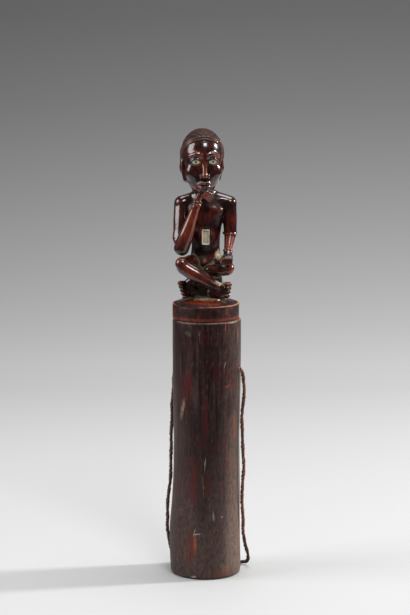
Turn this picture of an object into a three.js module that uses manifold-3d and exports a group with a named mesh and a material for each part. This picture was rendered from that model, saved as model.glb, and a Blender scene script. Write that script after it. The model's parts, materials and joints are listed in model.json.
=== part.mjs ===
// A lidded medicine box of dark red carved wood. A hollowed cylinder holds the medicine, and a stopper
// lid closes it. A seated figure, chin on hand, is carved in one block with the lid. Its eyes and the
// medicine in its belly are inlaid, and a twisted fibre cord hangs from two holes in the wall.
// Millimetres, +Z up, the figure faces -Y. The figure's right is at -X.
import * as THREE from "three";
import { mergeVertices } from "three/addons/utils/BufferGeometryUtils.js";
import Module from "manifold-3d";

const wasm = await Module();
wasm.setup();

// Driving dimensions of the cylinder.
const BOX_HEIGHT = 231;
const BOX_RADIUS = 30.6;
const CHAMBER_RADIUS = 23.4;
const FLOOR_THICKNESS = 13;
const FOOT_RADIUS = 28.6;
const FOOT_ROUNDING = 3;
const RIM_BEVEL = 1.2;

// The billet's natural shape: a slight waist, a flare near the foot, a swelling on one side of the
// foot, and a wall that leans a little.
const WAIST = { depth: 0.95, height: 120, spread: 40 };
const FLARE = { depth: 0.9, height: 10, spread: 25 };
const SWELL = { depth: 1.9, height: 38, spread: 25, bearing: 176, width: 42 };
const LEAN = { shift: 0.45, height: 75, spread: 25 };

// Driving dimensions of the lid. It drops into the mouth and rests on the rim.
const REST_GAP = 0.5;
const LID_RADIUS = 29.65;
const LID_THICKNESS = 15.2;
const LID_CROWN = 3;
const LID_BEVEL = 1.3;
const PLUG_RADIUS = 22.6;
const PLUG_DEPTH = 14;
const LID_UNDERSIDE = BOX_HEIGHT + REST_GAP;
const LID_TOP = LID_UNDERSIDE + LID_THICKNESS;

// Driving dimensions of the cord, its holes and its stopper knots.
const CORD_RADIUS = 1.5;
const HOLE_RADIUS = 2.4;
const HOLE_HEIGHT = 188;
const LEFT_HOLE_BEARING = -17;
const RIGHT_HOLE_BEARING = 143;
const HOLE_SLANT = 25;
const HOLE_BEND_RADIUS = 6.8;
const HOLE_BEND_START = 30.4;
const KNOT_RADIUS = 3.6;
const CORD_END_RADIUS = 22.8;
const KNOT_GAP = 0.3;

// Driving dimensions of the inlays, and the gap that each keeps to its pocket.
const INLAY_GAP = 0.3;
const EYE_WIDTH = 7.6;
const EYE_HEIGHT = 4.4;
const EYE_SPACING = 15.2;
const EYE_BED_THICKNESS = 1.3;
const EYE_GLASS_THICKNESS = 1.1;
const BELLY_WIDTH = 7;
const BELLY_HEIGHT = 13.8;
const BELLY_CORNER = 1.1;
const BELLY_COLLAR = 1.5;
const BELLY_COLLAR_DEPTH = 3;
const BELLY_GLASS_THICKNESS = 1;
const BELLY_GLASS_INSET = 0.9;
const BELLY_CHARGE_DEPTH = 4;

// How finely round forms are faceted.
const BOX_SIDES = 40;
const TRUNK_SIDES = 20;
const HEAD_SIDES = 20;
const MASS_SIDES = 14;
const LIMB_SIDES = 12;
const LIMB_CAP_STEPS = 2;
const DIGIT_SIDES = 6;
const DIGIT_CAP_STEPS = 2;
const KNOT_SIDES = 10;
const EYE_SEGMENTS = 4;
const CORNER_SEGMENTS = 1;
const CORD_SIDES = 8;
const CORD_STEP = 6;

const DEGREES = Math.PI / 180;
const at = (x, y, z) => new THREE.Vector3(x, y, z);

const MATERIALS = {
  boxWood: new THREE.MeshStandardMaterial({ color: 0x2e1d19, roughness: 0.5, metalness: 0 }),
  figureWood: new THREE.MeshStandardMaterial({ color: 0x45180f, roughness: 0.28, metalness: 0 }),
  whiteClay: new THREE.MeshStandardMaterial({ color: 0xc9bfa6, roughness: 0.7, metalness: 0 }),
  eyeGlass: new THREE.MeshStandardMaterial({ color: 0xb9c2ae, roughness: 0.1, metalness: 0 }),
  bone: new THREE.MeshStandardMaterial({ color: 0xdccab0, roughness: 0.45, metalness: 0 }),
  bellyGlass: new THREE.MeshStandardMaterial({ color: 0x8a7a52, roughness: 0.12, metalness: 0 }),
  resin: new THREE.MeshStandardMaterial({ color: 0x3a2a18, roughness: 0.8, metalness: 0 }),
  fibre: new THREE.MeshStandardMaterial({ color: 0x5a3222, roughness: 0.85, metalness: 0 }),
};

// A closed three.js geometry as a solid for cutting and joining.
function solidFrom(geometry) {
  const bare = geometry.clone();
  bare.deleteAttribute("normal");
  bare.deleteAttribute("uv");
  const merged = mergeVertices(bare, 1e-4);
  const corners = merged.index.array;
  const kept = [];
  for (let i = 0; i < corners.length; i += 3) {
    const [a, b, c] = [corners[i], corners[i + 1], corners[i + 2]];
    if (a !== b && b !== c && c !== a) kept.push(a, b, c);
  }
  const build = (triangles) =>
    new wasm.Manifold(
      new wasm.Mesh({
        numProp: 3,
        vertProperties: merged.attributes.position.array,
        triVerts: new Uint32Array(triangles),
      }),
    );
  const solid = build(kept);
  return solid.volume() > 0 ? solid : build(kept.reverse());
}

// A solid back as a geometry.
function geometryFrom(solid) {
  const mesh = solid.getMesh();
  const geometry = new THREE.BufferGeometry();
  geometry.setAttribute("position", new THREE.BufferAttribute(mesh.vertProperties, 3));
  geometry.setIndex(new THREE.BufferAttribute(mesh.triVerts, 1));
  geometry.computeVertexNormals();
  return geometry;
}

// Closed geometries joined into one solid.
const joined = (geometries) => geometries.map(solidFrom).reduce((whole, next) => whole.add(next));

// A profile of [radius, height] points turned about Z. It starts and ends on the axis.
function turned(profile, sides) {
  const points = profile.map(([radius, height]) => new THREE.Vector2(radius, height));
  return new THREE.LatheGeometry(points, sides).rotateX(Math.PI / 2);
}

// Points along a quarter round, from one bearing to another, for a turned profile.
function rounding(centreRadius, centreHeight, size, fromDegrees, toDegrees, steps) {
  return Array.from({ length: steps + 1 }, (_, i) => {
    const angle = (fromDegrees + ((toDegrees - fromDegrees) * i) / steps) * DEGREES;
    return [centreRadius + size * Math.cos(angle), centreHeight + size * Math.sin(angle)];
  });
}

// A limb: two balls and the round cone that touches both.
function limb(from, to, fromRadius, toRadius, sides = LIMB_SIDES, capSteps = LIMB_CAP_STEPS) {
  const span = to.clone().sub(from);
  const length = span.length();
  const lean = Math.asin((fromRadius - toRadius) / length);
  const quarter = Math.PI / 2;
  const profile = [];
  for (let i = 0; i <= capSteps; i += 1) {
    const angle = -quarter + ((quarter + lean) * i) / capSteps;
    const radius = i === 0 ? 0 : fromRadius * Math.cos(angle);
    profile.push(new THREE.Vector2(radius, fromRadius * Math.sin(angle)));
  }
  for (let i = 0; i <= capSteps; i += 1) {
    const angle = lean + ((quarter - lean) * i) / capSteps;
    const radius = i === capSteps ? 0 : toRadius * Math.cos(angle);
    profile.push(new THREE.Vector2(radius, length + toRadius * Math.sin(angle)));
  }
  const turn = new THREE.Quaternion().setFromUnitVectors(at(0, 1, 0), span.normalize());
  return new THREE.LatheGeometry(profile, sides)
    .applyQuaternion(turn)
    .translate(from.x, from.y, from.z);
}

const digit = (from, to, fromRadius, toRadius) =>
  limb(from, to, fromRadius, toRadius, DIGIT_SIDES, DIGIT_CAP_STEPS);

// A geometry drawn in along Y about a plane, to make a round form flat.
const flattened = (geometry, planeY, share) =>
  geometry.translate(0, -planeY, 0).scale(1, share, 1).translate(0, planeY, 0);

// An egg-shaped mass, with a radius along each axis and a nod about X in degrees.
function mass(centre, radii, nodDegrees = 0, sides = MASS_SIDES) {
  return new THREE.SphereGeometry(1, sides, Math.round(sides * 0.55))
    .scale(radii.x, radii.y, radii.z)
    .rotateX(nodDegrees * DEGREES)
    .translate(centre.x, centre.y, centre.z);
}

// A ring round a limb, such as a bracelet.
function ring(centre, along, radius, thickness) {
  const section = rounding(radius, 0, thickness, -90, 90, 3);
  const profile = [[0, -thickness], ...section, [0, thickness]];
  const points = profile.map(([out, height]) => new THREE.Vector2(out, height));
  const turn = new THREE.Quaternion().setFromUnitVectors(at(0, 1, 0), along.clone().normalize());
  return new THREE.LatheGeometry(points, LIMB_SIDES)
    .applyQuaternion(turn)
    .translate(centre.x, centre.y, centre.z);
}

const bump = ({ depth, height, spread }, z) => depth * Math.exp(-(((z - height) / spread) ** 2));

// The outer radius of the cylinder before its swelling.
const boxRadius = (z) => BOX_RADIUS - bump(WAIST, z) + bump(FLARE, z);

// How far the swelling near the foot stands out at a bearing and height.
function swelling(x, y, z) {
  const turn = Math.atan2(y, x) / DEGREES - SWELL.bearing;
  const off = Math.abs(((turn + 540) % 360) - 180);
  return bump(SWELL, z) * Math.exp(-((off / SWELL.width) ** 2));
}

function makeBoxBody() {
  const wallHeights = [12, 24, 38, 54, 72, 90, 110, 132, 156, 190];
  const profile = [
    [0, 0],
    [FOOT_RADIUS, 0],
    ...rounding(boxRadius(0) - FOOT_ROUNDING, FOOT_ROUNDING, FOOT_ROUNDING, -60, 0, 3),
    ...wallHeights.map((z) => [boxRadius(z), z]),
    [BOX_RADIUS, BOX_HEIGHT - RIM_BEVEL],
    [BOX_RADIUS - RIM_BEVEL, BOX_HEIGHT],
    [CHAMBER_RADIUS + RIM_BEVEL / 2, BOX_HEIGHT],
    [CHAMBER_RADIUS, BOX_HEIGHT - RIM_BEVEL],
    [CHAMBER_RADIUS, FLOOR_THICKNESS + 3],
    [CHAMBER_RADIUS - 3, FLOOR_THICKNESS],
    [0, FLOOR_THICKNESS],
  ];
  const geometry = turned(profile, BOX_SIDES);
  const points = geometry.getAttribute("position");
  for (let i = 0; i < points.count; i += 1) {
    const [x, y, z] = [points.getX(i), points.getY(i), points.getZ(i)];
    const radius = Math.hypot(x, y);
    if (radius > CHAMBER_RADIUS + RIM_BEVEL && z > 0) {
      const grown = (radius + swelling(x, y, z)) / radius;
      const lean = LEAN.shift * (1 + Math.tanh((z - LEAN.height) / LEAN.spread));
      points.setXY(i, x * grown + lean, y * grown);
    }
  }
  const drill = (bearing) =>
    new THREE.CylinderGeometry(HOLE_RADIUS, HOLE_RADIUS, BOX_RADIUS, 12)
      .rotateZ(Math.PI / 2)
      .rotateY(HOLE_SLANT * DEGREES)
      .translate(BOX_RADIUS, 0, 0)
      .rotateZ(bearing * DEGREES)
      .translate(0, 0, HOLE_HEIGHT);
  return solidFrom(geometry)
    .subtract(solidFrom(drill(LEFT_HOLE_BEARING)))
    .subtract(solidFrom(drill(RIGHT_HOLE_BEARING)));
}

// The lid's disc and the stopper under it. The top rises in a low crown to the figure's seat.
function makeLidDisc() {
  const crownEdge = LID_RADIUS - LID_BEVEL;
  const crown = [1, 0.8, 0.55].map((share) => [
    crownEdge * share,
    LID_TOP + LID_CROWN * (1 - share ** 2),
  ]);
  const profile = [
    [0, LID_UNDERSIDE - PLUG_DEPTH],
    [PLUG_RADIUS - 1.5, LID_UNDERSIDE - PLUG_DEPTH],
    [PLUG_RADIUS, LID_UNDERSIDE - PLUG_DEPTH + 2],
    [PLUG_RADIUS, LID_UNDERSIDE],
    [LID_RADIUS - 0.8, LID_UNDERSIDE],
    [LID_RADIUS, LID_UNDERSIDE + 0.8],
    [LID_RADIUS, LID_TOP - LID_BEVEL],
    ...crown,
    [0, LID_TOP + LID_CROWN],
  ];
  return turned(profile, BOX_SIDES);
}

// The trunk, as the half-width of its front view at each height, and how deep it is for its width.
const TRUNK_Y = 5;
const TRUNK_DEPTH_SHARE = 0.74;
const TRUNK_OUTLINE = [
  [0, 272],
  [14.4, 274],
  [15, 281],
  [13.2, 288],
  [12.5, 294],
  [12.9, 303],
  [14.2, 312],
  [16.6, 321],
  [17, 329],
  [14, 336.5],
  [9, 341.5],
  [0, 343],
];
const SEAT_Y = 8;
const SEAT_DEPTH_SHARE = 0.86;
const SEAT_OUTLINE = [
  [0, 240],
  [16.6, 244],
  [15.6, 252],
  [14.6, 262],
  [15.2, 272],
  [13.5, 280],
  [0, 284],
];

// The seat block that the figure sits on, and the trunk up to the neck.
function makeTrunk() {
  const shoulder = (side) =>
    limb(at(side * 8.5, 5.5, 337), at(side * 21, 4.5, 333), 6.2, 6.3);
  return joined([
    turned(SEAT_OUTLINE, TRUNK_SIDES).scale(1, SEAT_DEPTH_SHARE, 1).translate(0, SEAT_Y, 0),
    turned(TRUNK_OUTLINE, TRUNK_SIDES).scale(1, TRUNK_DEPTH_SHARE, 1).translate(0, TRUNK_Y, 0),
    mass(at(0.2, 1.6, 304), at(10.4, 9.8, 14)),
    mass(at(-7.6, 2.6, 326), at(9.4, 9.5, 8.4)),
    mass(at(7.6, 2.6, 326), at(9.4, 9.5, 8.4)),
    shoulder(-1),
    shoulder(1),
    limb(at(-1, 5.6, 333), at(-2.6, 1.6, 350), 10.4, 9.2),
  ]);
}

// The head is made about its centre, and is turned a little to the figure's left. Its chin rests on
// the right fist. The hair is a cap with a raised band along its edge: level over the forehead, and
// down in front of each ear.
const HEAD_CENTRE = at(-3.1, -2, 370);
const HEAD_TURN = 7;
const SKULL_CENTRE = at(0, 0.5, 7);
const SKULL_RADII = at(17.9, 20.4, 21.2);
const HAIR_RISE = 0.9;
const HAIR_BAND_RISE = 1.7;
const HAIR_BAND_WIDTH = 2.6;
const HAIRLINE_TILT = 22;
const HAIRLINE_CORNER = { y: 0.5, z: 12.5 };

// Turns and moves something made about the head's centre to its place on the figure.
function toFigure(geometry) {
  return geometry
    .rotateZ(HEAD_TURN * DEGREES)
    .translate(HEAD_CENTRE.x, HEAD_CENTRE.y, HEAD_CENTRE.z);
}

// The space in front of the ears and under the hairline, grown by a margin.
function faceSpace(margin) {
  const size = 90;
  const corner = HAIRLINE_CORNER;
  const beforeEars = new THREE.BoxGeometry(size, size, size)
    .translate(0, margin - size / 2, 0)
    .translate(0, corner.y, corner.z);
  const underHairline = new THREE.BoxGeometry(size, size, size)
    .translate(0, 0, margin - size / 2)
    .rotateX(-HAIRLINE_TILT * DEGREES)
    .translate(0, corner.y, corner.z);
  return solidFrom(toFigure(beforeEars)).intersect(solidFrom(toFigure(underHairline)));
}

const skull = (rise) => mass(SKULL_CENTRE, SKULL_RADII.clone().addScalar(rise), 0, HEAD_SIDES);

function makeHead() {
  const ear = (side) => mass(at(side * 18, 2.2, -3.4), at(2, 4, 7.6), 12, 8);
  const eyeMound = (side) => mass(at(side * 7.4, -13.2, 0.4), at(6, 5.2, 4.6), 0, 12);
  const hair = solidFrom(toFigure(skull(HAIR_RISE))).subtract(faceSpace(0));
  const hairBand = solidFrom(toFigure(skull(HAIR_BAND_RISE)))
    .intersect(faceSpace(HAIR_BAND_WIDTH))
    .subtract(faceSpace(0));
  const face = [
    skull(0),
    mass(at(0, -4.6, -7), at(15.6, 14.6, 22.4), 0, HEAD_SIDES),
    mass(at(0, -12.4, -22), at(6.6, 6.2, 6.6), 0, 12),
    eyeMound(-1),
    eyeMound(1),
    limb(at(0, -18, 1), at(0, -20.8, -11.2), 1.5, 2.3, 10, 2),
    digit(at(-2.7, -19, -12.4), at(2.7, -19, -12.4), 1.7, 1.7),
    digit(at(-3.4, -17.2, -18.4), at(3.4, -17.2, -18.4), 1.8, 1.8),
    digit(at(-3, -16.9, -20.9), at(3, -16.9, -20.9), 1.9, 1.9),
    ear(-1),
    ear(1),
  ];
  return joined(face.map(toFigure)).add(hair).add(hairBand);
}

// The right arm props the chin, and the left lies on the knee.
const RIGHT_ELBOW = at(-21.6, -8.8, 293.6);
const RIGHT_WRIST = at(-8.6, -16.4, 331);
const LEFT_ELBOW = at(21.7, 3, 306);
const LEFT_WRIST = at(19.4, -7.6, 291);

// A bracelet at a share of the way along a forearm.
function bracelet(elbow, wrist, share, radius, thickness) {
  const along = wrist.clone().sub(elbow);
  return ring(elbow.clone().addScaledVector(along, share), along, radius, thickness);
}

function makeArms() {
  const curledFingers = [0, 1, 2, 3].map((i) =>
    digit(at(-7.6 + i, -20, 340.4 - 2.5 * i), at(1.2 - i * 0.4, -19.4, 339.4 - 2.3 * i), 1.9, 1.7),
  );
  const fingers = [0, 1, 2, 3].map((i) =>
    digit(at(15 + 2.4 * i, -12, 287), at(14.2 + 2.7 * i, -15.4, 280), 1.6, 1.4),
  );
  return joined([
    limb(at(-20.9, 4.5, 332.2), at(-22.2, -1, 303), 7, 6.7),
    limb(at(-22.2, -1, 303), RIGHT_ELBOW, 6.5, 5.6),
    limb(RIGHT_ELBOW, RIGHT_WRIST, 6.4, 3.7),
    bracelet(RIGHT_ELBOW, RIGHT_WRIST, 0.9, 3.9, 0.9),
    bracelet(RIGHT_ELBOW, RIGHT_WRIST, 0.97, 3.8, 0.9),
    mass(at(-4, -15.8, 336.8), at(6.8, 5.2, 6.2), 0, 12),
    digit(at(-7.6, -18.6, 336), at(-4.2, -19.6, 342), 2, 1.7),
    ...curledFingers,
    limb(at(20.9, 4.5, 332.2), LEFT_ELBOW, 6.3, 6),
    ring(at(21.2, 3, 306.8), at(0, -0.1, 1), 5.3, 1.4),
    limb(LEFT_ELBOW, LEFT_WRIST, 4.9, 3.6),
    bracelet(LEFT_ELBOW, LEFT_WRIST, 0.96, 3.7, 0.9),
    mass(at(18.6, -10.6, 286.4), at(5.6, 4.6, 5), 0, 12),
    ...fingers,
  ]);
}

// The five toes of a foot, stacked from the big toe down.
function toes(top, bottom, outward) {
  return [0, 1, 2, 3, 4].map((i) => {
    const root = top.clone().lerp(bottom, i / 4);
    return digit(root, root.clone().add(outward), 2.4 - 0.2 * i, 2.1 - 0.18 * i);
  });
}

// The legs are crossed, the right shin in front, and each foot stands on its outer edge.
const RIGHT_KNEE = at(-20.6, -12, 280.8);
const LEFT_KNEE = at(18.9, -9.5, 275.6);
const FOOT_FLATNESS = 0.5;

function makeLegs() {
  const rightSole = limb(at(3.5, -14.6, 255.4), at(14, -14.6, 257), 5, 8.2, 12, 3);
  const leftSole = limb(at(-8, -1.5, 256), at(-16, -1.5, 257), 5, 7.6, 12, 3);
  return joined([
    limb(at(-7.5, 6, 279), RIGHT_KNEE, 8.4, 5.9),
    limb(RIGHT_KNEE, at(8.5, -16.4, 262.4), 6.4, 4.5),
    flattened(rightSole, -14.6, FOOT_FLATNESS),
    ...toes(at(18, -13.6, 263.2), at(17.4, -13, 250), at(2.8, -1.8, 0)),
    limb(at(7.5, 6, 280), at(18.8, -9, 278.6), 8, 5.4),
    limb(LEFT_KNEE, at(4, -5.5, 274), 6, 5.2),
    limb(at(4, -5.5, 274), at(-14.5, -1.5, 262.6), 4.9, 4.4),
    flattened(leftSole, -1.5, FOOT_FLATNESS),
    ...toes(at(-20.6, -2, 262.6), at(-18, -1.6, 250.2), at(-2.6, -1.8, 0)),
  ]);
}

// An almond outline between two arcs, corner to corner along X.
function almond(width, height) {
  const rise = height / 2;
  const radius = ((width / 2) ** 2 + rise ** 2) / (2 * rise);
  const half = Math.asin(width / 2 / radius);
  const quarter = Math.PI / 2;
  const outline = new THREE.Shape();
  outline.absarc(0, rise - radius, radius, quarter + half, quarter - half, true);
  outline.absarc(0, radius - rise, radius, -quarter + half, -quarter - half, true);
  return outline;
}

// A rectangle with rounded corners, as a shape or as a hole in one.
function roundedRectangle(width, height, corner, outline = new THREE.Shape()) {
  const [x, y] = [width / 2 - corner, height / 2 - corner];
  const quarter = Math.PI / 2;
  outline.absarc(x, y, corner, 0, quarter, false);
  outline.absarc(-x, y, corner, quarter, 2 * quarter, false);
  outline.absarc(-x, -y, corner, 2 * quarter, 3 * quarter, false);
  outline.absarc(x, -y, corner, 3 * quarter, 4 * quarter, false);
  outline.closePath();
  return outline;
}

// A flat inlay cut to an outline. Its face looks along -Y, and it runs back from there.
function inlay(outline, thickness, curveSegments) {
  return new THREE.ExtrudeGeometry(outline, {
    depth: thickness,
    bevelEnabled: false,
    curveSegments,
  })
    .rotateX(Math.PI / 2)
    .translate(0, thickness, 0);
}

// Where each inlay's face sits. The eyes are half way up the head, one eye's width apart.
const EYE_HEIGHT_UP = 0.5;
const EYE_FACE = 16.9;
const EYE_TOE_OUT = 15;
const BELLY_FACE = at(0, -7.5, 303.7);
const EYE_POCKET_DEPTH = EYE_BED_THICKNESS + EYE_GLASS_THICKNESS + 2 * INLAY_GAP;

// Turns and moves something made at the origin to one eye's socket. side is -1 for the right eye.
function toEye(geometry, side) {
  return toFigure(
    geometry
      .rotateZ(side * EYE_TOE_OUT * DEGREES)
      .translate((side * EYE_SPACING) / 2, -EYE_FACE, EYE_HEIGHT_UP),
  );
}

const toBelly = (geometry) => geometry.translate(BELLY_FACE.x, BELLY_FACE.y, BELLY_FACE.z);

function makeEyePocket(side) {
  const reach = 4;
  const outline = almond(EYE_WIDTH + 2 * INLAY_GAP, EYE_HEIGHT + 2 * INLAY_GAP);
  const pocket = inlay(outline, EYE_POCKET_DEPTH + reach, EYE_SEGMENTS).translate(0, -reach, 0);
  return solidFrom(toEye(pocket, side));
}

function makeBellyPocket() {
  const reach = 6;
  const depth = BELLY_COLLAR_DEPTH + BELLY_CHARGE_DEPTH + 3 * INLAY_GAP;
  const outline = roundedRectangle(
    BELLY_WIDTH + 2 * INLAY_GAP,
    BELLY_HEIGHT + 2 * INLAY_GAP,
    BELLY_CORNER,
  );
  const pocket = inlay(outline, depth + reach, CORNER_SEGMENTS).translate(0, -reach, 0);
  return solidFrom(toBelly(pocket));
}

function makeLidFigure() {
  return solidFrom(makeLidDisc())
    .add(makeTrunk())
    .add(makeHead())
    .add(makeArms())
    .add(makeLegs())
    .subtract(makeEyePocket(-1))
    .subtract(makeEyePocket(1))
    .subtract(makeBellyPocket());
}

// One layer of an eye, from how far it is set back in the socket to its back.
function makeEyeLayer(side, setBack, thickness) {
  const layer = inlay(almond(EYE_WIDTH, EYE_HEIGHT), thickness, EYE_SEGMENTS);
  return toEye(layer.translate(0, setBack, 0), side);
}

const makeEyeGlass = (side) => makeEyeLayer(side, 0, EYE_GLASS_THICKNESS);
const makeEyeBed = (side) =>
  makeEyeLayer(side, EYE_GLASS_THICKNESS + INLAY_GAP, EYE_BED_THICKNESS);

function makeBellyCollar() {
  const outline = roundedRectangle(BELLY_WIDTH, BELLY_HEIGHT, BELLY_CORNER);
  const hole = roundedRectangle(
    BELLY_WIDTH - 2 * BELLY_COLLAR,
    BELLY_HEIGHT - 2 * BELLY_COLLAR,
    BELLY_CORNER / 2,
    new THREE.Path(),
  );
  outline.holes.push(hole);
  return toBelly(inlay(outline, BELLY_COLLAR_DEPTH, CORNER_SEGMENTS));
}

function makeBellyGlass() {
  const shrink = 2 * (BELLY_COLLAR + INLAY_GAP);
  const outline = roundedRectangle(BELLY_WIDTH - shrink, BELLY_HEIGHT - shrink, BELLY_CORNER / 3);
  const pane = inlay(outline, BELLY_GLASS_THICKNESS, CORNER_SEGMENTS);
  return toBelly(pane.translate(0, BELLY_GLASS_INSET, 0));
}

function makeBellyCharge() {
  const outline = roundedRectangle(BELLY_WIDTH, BELLY_HEIGHT, BELLY_CORNER);
  const charge = inlay(outline, BELLY_CHARGE_DEPTH, CORNER_SEGMENTS);
  return toBelly(charge.translate(0, BELLY_COLLAR_DEPTH + INLAY_GAP, 0));
}

// A point on the line of a cord hole, which runs down and out through the wall.
function onHoleLine(radius, bearing) {
  const angle = bearing * DEGREES;
  const rise = (BOX_RADIUS - radius) * Math.tan(HOLE_SLANT * DEGREES);
  return at(radius * Math.cos(angle), radius * Math.sin(angle), HOLE_HEIGHT + rise);
}

// The cord from its knot through the wall, and its bend from there to straight down.
function throughHole(bearing) {
  const start = onHoleLine(HOLE_BEND_START, bearing);
  const slant = HOLE_SLANT * DEGREES;
  const bend = [HOLE_SLANT, 45, 67, 90].map((heading) => {
    const turn = heading * DEGREES;
    const out = HOLE_BEND_RADIUS * (Math.sin(turn) - Math.sin(slant));
    const down = HOLE_BEND_RADIUS * (Math.cos(slant) - Math.cos(turn));
    return onHoleLine(HOLE_BEND_START + out, bearing).setZ(start.z - down);
  });
  return [onHoleLine(CORD_END_RADIUS, bearing), ...bend];
}

// The cord's centreline: out of the hole at the figure's left, down the side, round behind the foot
// on the ground, and up the other side to the hole at the back.
function makeCordLine() {
  const hanging = [
    at(33.3, -10.2, 173),
    at(33.5, -10, 158),
    at(32.2, -9.6, 142),
    at(32.4, -9.6, 125),
    at(33.4, -10, 104),
    at(33.5, -9.6, 84),
    at(32.8, -7.6, 62),
    at(34, -2.6, 42),
    at(36.2, 5, 22.5),
    at(38.9, 12, 11.4),
    at(38.6, 14.2, 6.8),
    at(37, 17.2, 3.4),
    at(33.8, 21, 1.9),
    at(26.2, 28.2, 1.6),
    at(14, 35.6, 1.6),
    at(0, 36.8, 1.6),
    at(-12, 35.2, 1.6),
    at(-21, 31.2, 2),
    at(-27.4, 26.6, 5.6),
    at(-31.6, 21.8, 15),
    at(-34, 17, 30),
    at(-34.7, 14.4, 46),
    at(-34.5, 13.6, 58),
    at(-33.8, 13.6, 76),
    at(-32.2, 14.2, 94),
    at(-31.4, 15.2, 118),
    at(-30.7, 16.8, 152),
    at(-29.4, 19, 172),
  ];
  const points = [
    ...throughHole(LEFT_HOLE_BEARING),
    ...hanging,
    ...throughHole(RIGHT_HOLE_BEARING).reverse(),
  ];
  return new THREE.CatmullRomCurve3(points, false, "centripetal");
}

function makeCord() {
  const line = makeCordLine();
  const section = new THREE.Shape().absarc(0, 0, CORD_RADIUS, 0, 2 * Math.PI, false);
  return new THREE.ExtrudeGeometry(section, {
    steps: Math.round(line.getLength() / CORD_STEP),
    curveSegments: CORD_SIDES / 2,
    extrudePath: line,
  });
}

// A stopper knot inside the wall, which keeps the cord's end from pulling through its hole.
function makeKnot(bearing) {
  const setBack = (KNOT_RADIUS + KNOT_GAP) * Math.cos(HOLE_SLANT * DEGREES);
  const centre = onHoleLine(CORD_END_RADIUS - setBack, bearing);
  const ball = new THREE.SphereGeometry(KNOT_RADIUS, KNOT_SIDES, KNOT_SIDES * 0.6);
  return ball.translate(centre.x, centre.y, centre.z);
}

const model = new THREE.Group();

function addPiece(name, geometry, material) {
  const piece = new THREE.Mesh(geometry, material);
  piece.name = name;
  model.add(piece);
}

addPiece("box_body", geometryFrom(makeBoxBody()), MATERIALS.boxWood);
addPiece("lid_figure", geometryFrom(makeLidFigure()), MATERIALS.figureWood);
for (const [side, sideName] of [
  [-1, "right"],
  [1, "left"],
]) {
  addPiece(`eye_bed_${sideName}`, makeEyeBed(side), MATERIALS.whiteClay);
  addPiece(`eye_glass_${sideName}`, makeEyeGlass(side), MATERIALS.eyeGlass);
}
addPiece("belly_collar", makeBellyCollar(), MATERIALS.bone);
addPiece("belly_glass", makeBellyGlass(), MATERIALS.bellyGlass);
addPiece("belly_charge", makeBellyCharge(), MATERIALS.resin);
addPiece("carrying_cord", makeCord(), MATERIALS.fibre);
addPiece("cord_knot_left", makeKnot(LEFT_HOLE_BEARING), MATERIALS.fibre);
addPiece("cord_knot_right", makeKnot(RIGHT_HOLE_BEARING), MATERIALS.fibre);

export default model;
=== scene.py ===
import json
import math
from collections import namedtuple
from functools import partial

import bpy
import numpy as np
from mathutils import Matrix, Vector

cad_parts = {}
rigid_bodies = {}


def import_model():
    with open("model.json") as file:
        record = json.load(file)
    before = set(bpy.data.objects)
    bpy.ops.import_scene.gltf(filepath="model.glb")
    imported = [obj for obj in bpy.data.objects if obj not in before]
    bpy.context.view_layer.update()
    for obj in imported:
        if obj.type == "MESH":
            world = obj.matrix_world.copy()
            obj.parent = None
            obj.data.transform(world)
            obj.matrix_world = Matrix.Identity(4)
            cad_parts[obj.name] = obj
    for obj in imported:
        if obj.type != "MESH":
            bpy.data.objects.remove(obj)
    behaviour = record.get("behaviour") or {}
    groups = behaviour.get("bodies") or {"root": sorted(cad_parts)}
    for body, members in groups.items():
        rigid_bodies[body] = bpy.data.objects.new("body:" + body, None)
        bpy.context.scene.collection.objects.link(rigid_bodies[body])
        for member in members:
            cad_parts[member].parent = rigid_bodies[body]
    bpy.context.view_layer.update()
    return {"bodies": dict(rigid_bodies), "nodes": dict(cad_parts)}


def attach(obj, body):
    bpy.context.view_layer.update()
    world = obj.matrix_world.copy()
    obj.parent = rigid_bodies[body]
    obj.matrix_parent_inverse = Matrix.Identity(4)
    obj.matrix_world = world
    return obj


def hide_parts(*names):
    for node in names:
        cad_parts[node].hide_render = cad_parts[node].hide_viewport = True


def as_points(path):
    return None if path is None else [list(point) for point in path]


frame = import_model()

MM = 0.001
TAU = 2 * math.pi
scene = bpy.context.scene
in_frame = [*frame["nodes"].values(), *frame["bodies"].values()]
for extra in [o for o in bpy.data.objects if o not in in_frame]:
    bpy.data.objects.remove(extra)


# Camera. It looks slightly down on the lid, from the front, through a long lens.
CAMERA_NOD = math.radians(8.33)
camera_data = bpy.data.cameras.new("camera")
camera_data.sensor_width = 36
camera_data.lens = 115.2
camera_data.clip_start = 0.05
camera_data.clip_end = 60
camera = bpy.data.objects.new("camera", camera_data)
camera.location = (-0.0006, -1.7256, 0.493)
camera.rotation_euler = (math.radians(90) - CAMERA_NOD, 0, 0)
scene.collection.objects.link(camera)
scene.camera = camera


# Mesh helpers.
def make_piece(name, points, faces):
    """A mesh object from points in millimetres."""
    mesh = bpy.data.meshes.new(name)
    mesh.from_pydata((np.asarray(points, float) * MM).tolist(), [], [list(map(int, f)) for f in faces])
    mesh.validate()
    mesh.shade_smooth()
    piece = bpy.data.objects.new(name, mesh)
    scene.collection.objects.link(piece)
    return piece


def apply_modifiers(piece):
    """Replaces a piece's mesh by what its modifiers make of it."""
    bpy.context.view_layer.update()
    made = piece.evaluated_get(bpy.context.evaluated_depsgraph_get())
    mesh = bpy.data.meshes.new_from_object(made)
    piece.modifiers.clear()
    piece.data = mesh


def keep_values(piece, name, values):
    """Keeps a number for each point of a piece, for its finish."""
    layer = piece.data.attributes.new(name, "FLOAT", "POINT")
    layer.data.foreach_set("value", values.astype(np.float32))


def quads_between(rings, count):
    """Faces between closed rings of points, each of count points, given as the index of each ring's first."""
    faces = []
    for a, b in zip(rings, rings[1:]):
        for i in range(count):
            j = (i + 1) % count
            faces.append((a + i, a + j, b + j, b + i))
    return faces


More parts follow.
